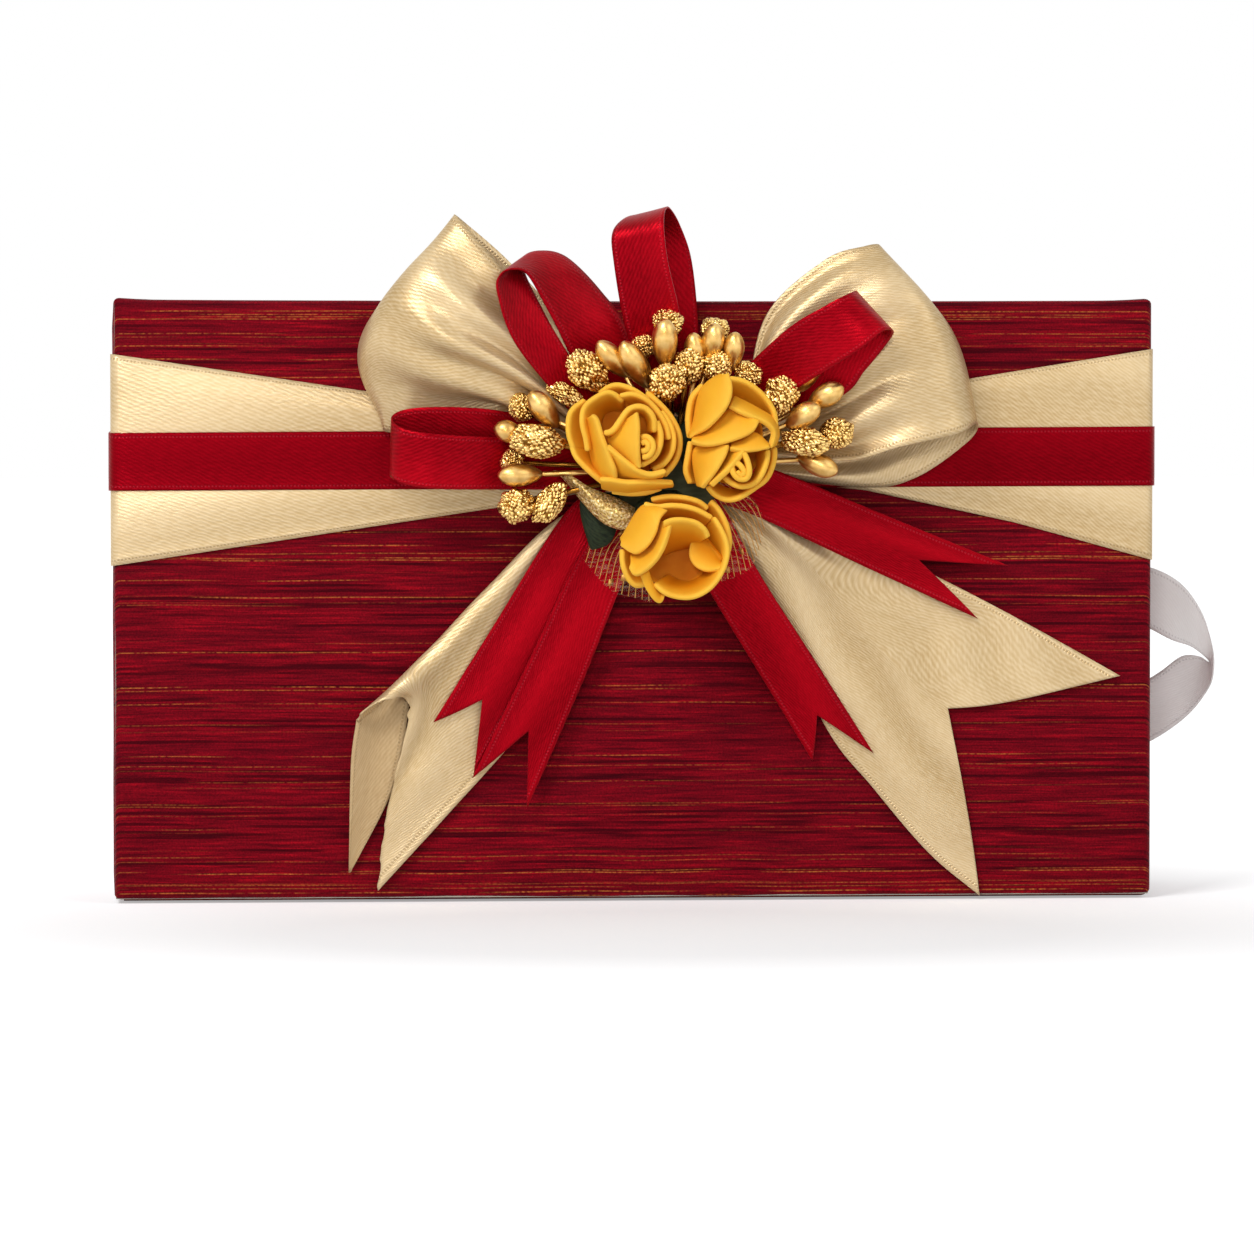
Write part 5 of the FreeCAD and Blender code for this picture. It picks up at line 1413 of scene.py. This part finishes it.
net(
    "net_lower", "net_lower_left", 12, 9,
    [(-1.5, 77.0, 10.2), (1.0, 75.5, 10.4), (4.0, 74.5, 10.2)],
    [(-8.5, 72.5, 9.6), (-3.5, 68.5, 11.4), (2.5, 66.0, 10.0)],
    [(-10.8, 67.0, 7.6), (-5.2, 61.0, 9.4), (2.8, 58.6, 8.0)],
)
net(
    "net_side", "net_right", 13, 8,
    [(11.0, 79.0, 10.2), (13.5, 82.0, 10.4), (15.5, 84.0, 10.2)],
    [(14.0, 69.0, 10.6), (19.5, 72.5, 12.4), (22.5, 79.0, 10.6)],
    [(14.5, 62.0, 8.6), (22.0, 65.5, 10.4), (25.0, 73.5, 9.0)],
)


# Finishes on the CAD pieces that show

CAD_FINISHES = (
    (GREYBOARD, [f"sleeve_{side}_board" for side in ("front", "back", "top", "bottom", "end")]),
    (PAPER, [f"tray_{part}" for part in ("floor", "upper_wall", "lower_wall", "inner_end", "pull_end")]),
    (PAPER, ["tray_lining"]),
    (CARD, ["spray_pad"]),
    (WIRE, ["binding_wire"]),
    (CALYX, [f"rose_{place}_calyx" for place in ("left", "right", "lower")]),
)
for finish, names in CAD_FINISHES:
    for name in names:
        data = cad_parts[name].data
        data.materials.clear()
        data.materials.append(finish)


# Stage, light and camera, in metres

FLOOR_HALF = 6.0
FLOOR_DROP = 0.0004
# Painted shadow on the floor: the glow is weakest round this centre, just in front of the box, in a pool
# wider across than deep.
PAINTED_SHADOW_CENTRE = (0, 0.1, 0)
PAINTED_SHADOW_STRETCH = (0.7, 1, 1)
GLOW = {"From Min": 0.05, "From Max": 0.22, "To Min": 0.20, "To Max": 0.86}
WORLD_LIGHT = 0.30
CAMERA_PLACE = (-0.09544, -1.31751, 0.10083)
CAMERA_TURN = (math.radians(87.916), 0, math.radians(-4.153))
CAMERA_LENS = 189.15
CAMERA_SENSOR = 36.0


def plainly_seen(tree):
    """1 for the rays that see a plain white ground, 0 for the light that falls on the object."""
    rays = tree.nodes.new("ShaderNodeLightPath").outputs
    seen = rays["Is Camera Ray"]
    for other in ("Is Glossy Ray", "Is Transmission Ray"):
        either = tree.nodes.new("ShaderNodeMath")
        either.operation = "MAXIMUM"
        tree.links.new(seen, either.inputs[0])
        tree.links.new(rays[other], either.inputs[1])
        seen = either.outputs[0]
    return seen


def stage():
    """A pale floor that is white away from the object and keeps its shadow; its glow is weakest in a pool
    centred in front of the box and grows away from it, which paints a soft shadow there over the real one.
    """
    mesh = bmesh.new()
    bmesh.ops.create_grid(mesh, x_segments=1, y_segments=1, size=FLOOR_HALF)
    data = bpy.data.meshes.new("floor")
    mesh.to_mesh(data)
    mesh.free()
    floor = bpy.data.objects.new("floor", data)
    floor.location.z = -FLOOR_DROP
    bpy.context.scene.collection.objects.link(floor)
    pale = Finish("pale_floor", base_color=(0.86, 0.86, 0.87, 1), roughness=0.9, specular_ior_level=0.0)
    ground = pale.add("ShaderNodeTexCoord", {}).outputs["Object"]
    inputs = {"Vector": ground, "Location": PAINTED_SHADOW_CENTRE, "Scale": PAINTED_SHADOW_STRETCH}
    ahead = pale.add("ShaderNodeMapping", inputs).outputs[0]
    spread = pale.add("ShaderNodeVectorMath", {0: ahead}, operation="LENGTH").outputs["Value"]
    # Painted shadow: the glow grows from weak in the pool in front of the box to nearly white farther off.
    glow_round_painted_shadow = pale.add("ShaderNodeMapRange", {"Value": spread, **GLOW}).outputs[0]
    pale.set(emission_color=(1, 1, 1, 1), emission_strength=pale.times(plainly_seen(pale.tree), glow_round_painted_shadow))
    data.materials.append(pale.material)


def daylight():
    """A white world to look at that lights the object only softly."""
    world = bpy.data.worlds.new("studio")
    bpy.context.scene.world = world
    world.use_nodes = True
    tree = world.node_tree
    back = tree.nodes["Background"]
    back.inputs["Color"].default_value = (1, 1, 1, 1)
    reach = tree.nodes.new("ShaderNodeMapRange")
    reach.inputs["To Min"].default_value = WORLD_LIGHT
    reach.inputs["To Max"].default_value = 1.0
    tree.links.new(plainly_seen(tree), reach.inputs["Value"])
    tree.links.new(reach.outputs[0], back.inputs["Strength"])


def lamp(name, place, target, size, power):
    """A square lamp of a given size, aimed at a target."""
    data = bpy.data.lights.new(name, "AREA")
    data.shape = "RECTANGLE"
    data.size = data.size_y = size
    data.energy = power
    thing = bpy.data.objects.new(name, data)
    thing.location = place
    thing.rotation_euler = (Vector(target) - Vector(place)).to_track_quat("-Z", "Y").to_euler()
    bpy.context.scene.collection.objects.link(thing)


def viewpoint():
    data = bpy.data.cameras.new("camera")
    data.lens = CAMERA_LENS
    data.sensor_width = CAMERA_SENSOR
    camera = bpy.data.objects.new("camera", data)
    camera.location = CAMERA_PLACE
    camera.rotation_euler = CAMERA_TURN
    bpy.context.scene.collection.objects.link(camera)
    bpy.context.scene.camera = camera


stage()
daylight()
lamp("key_lamp", (-0.62, -0.95, 0.95), (0, 0, 0.06), 0.5, 11.0)
lamp("front_lamp", (-0.20, -1.34, 0.42), (0, 0, 0.07), 0.24, 3.0)
lamp("fill_lamp", (0.9, -0.9, 0.7), (0, 0, 0.06), 0.8, 2.5)
viewpoint()
bpy.context.scene.view_settings.view_transform = "Standard"
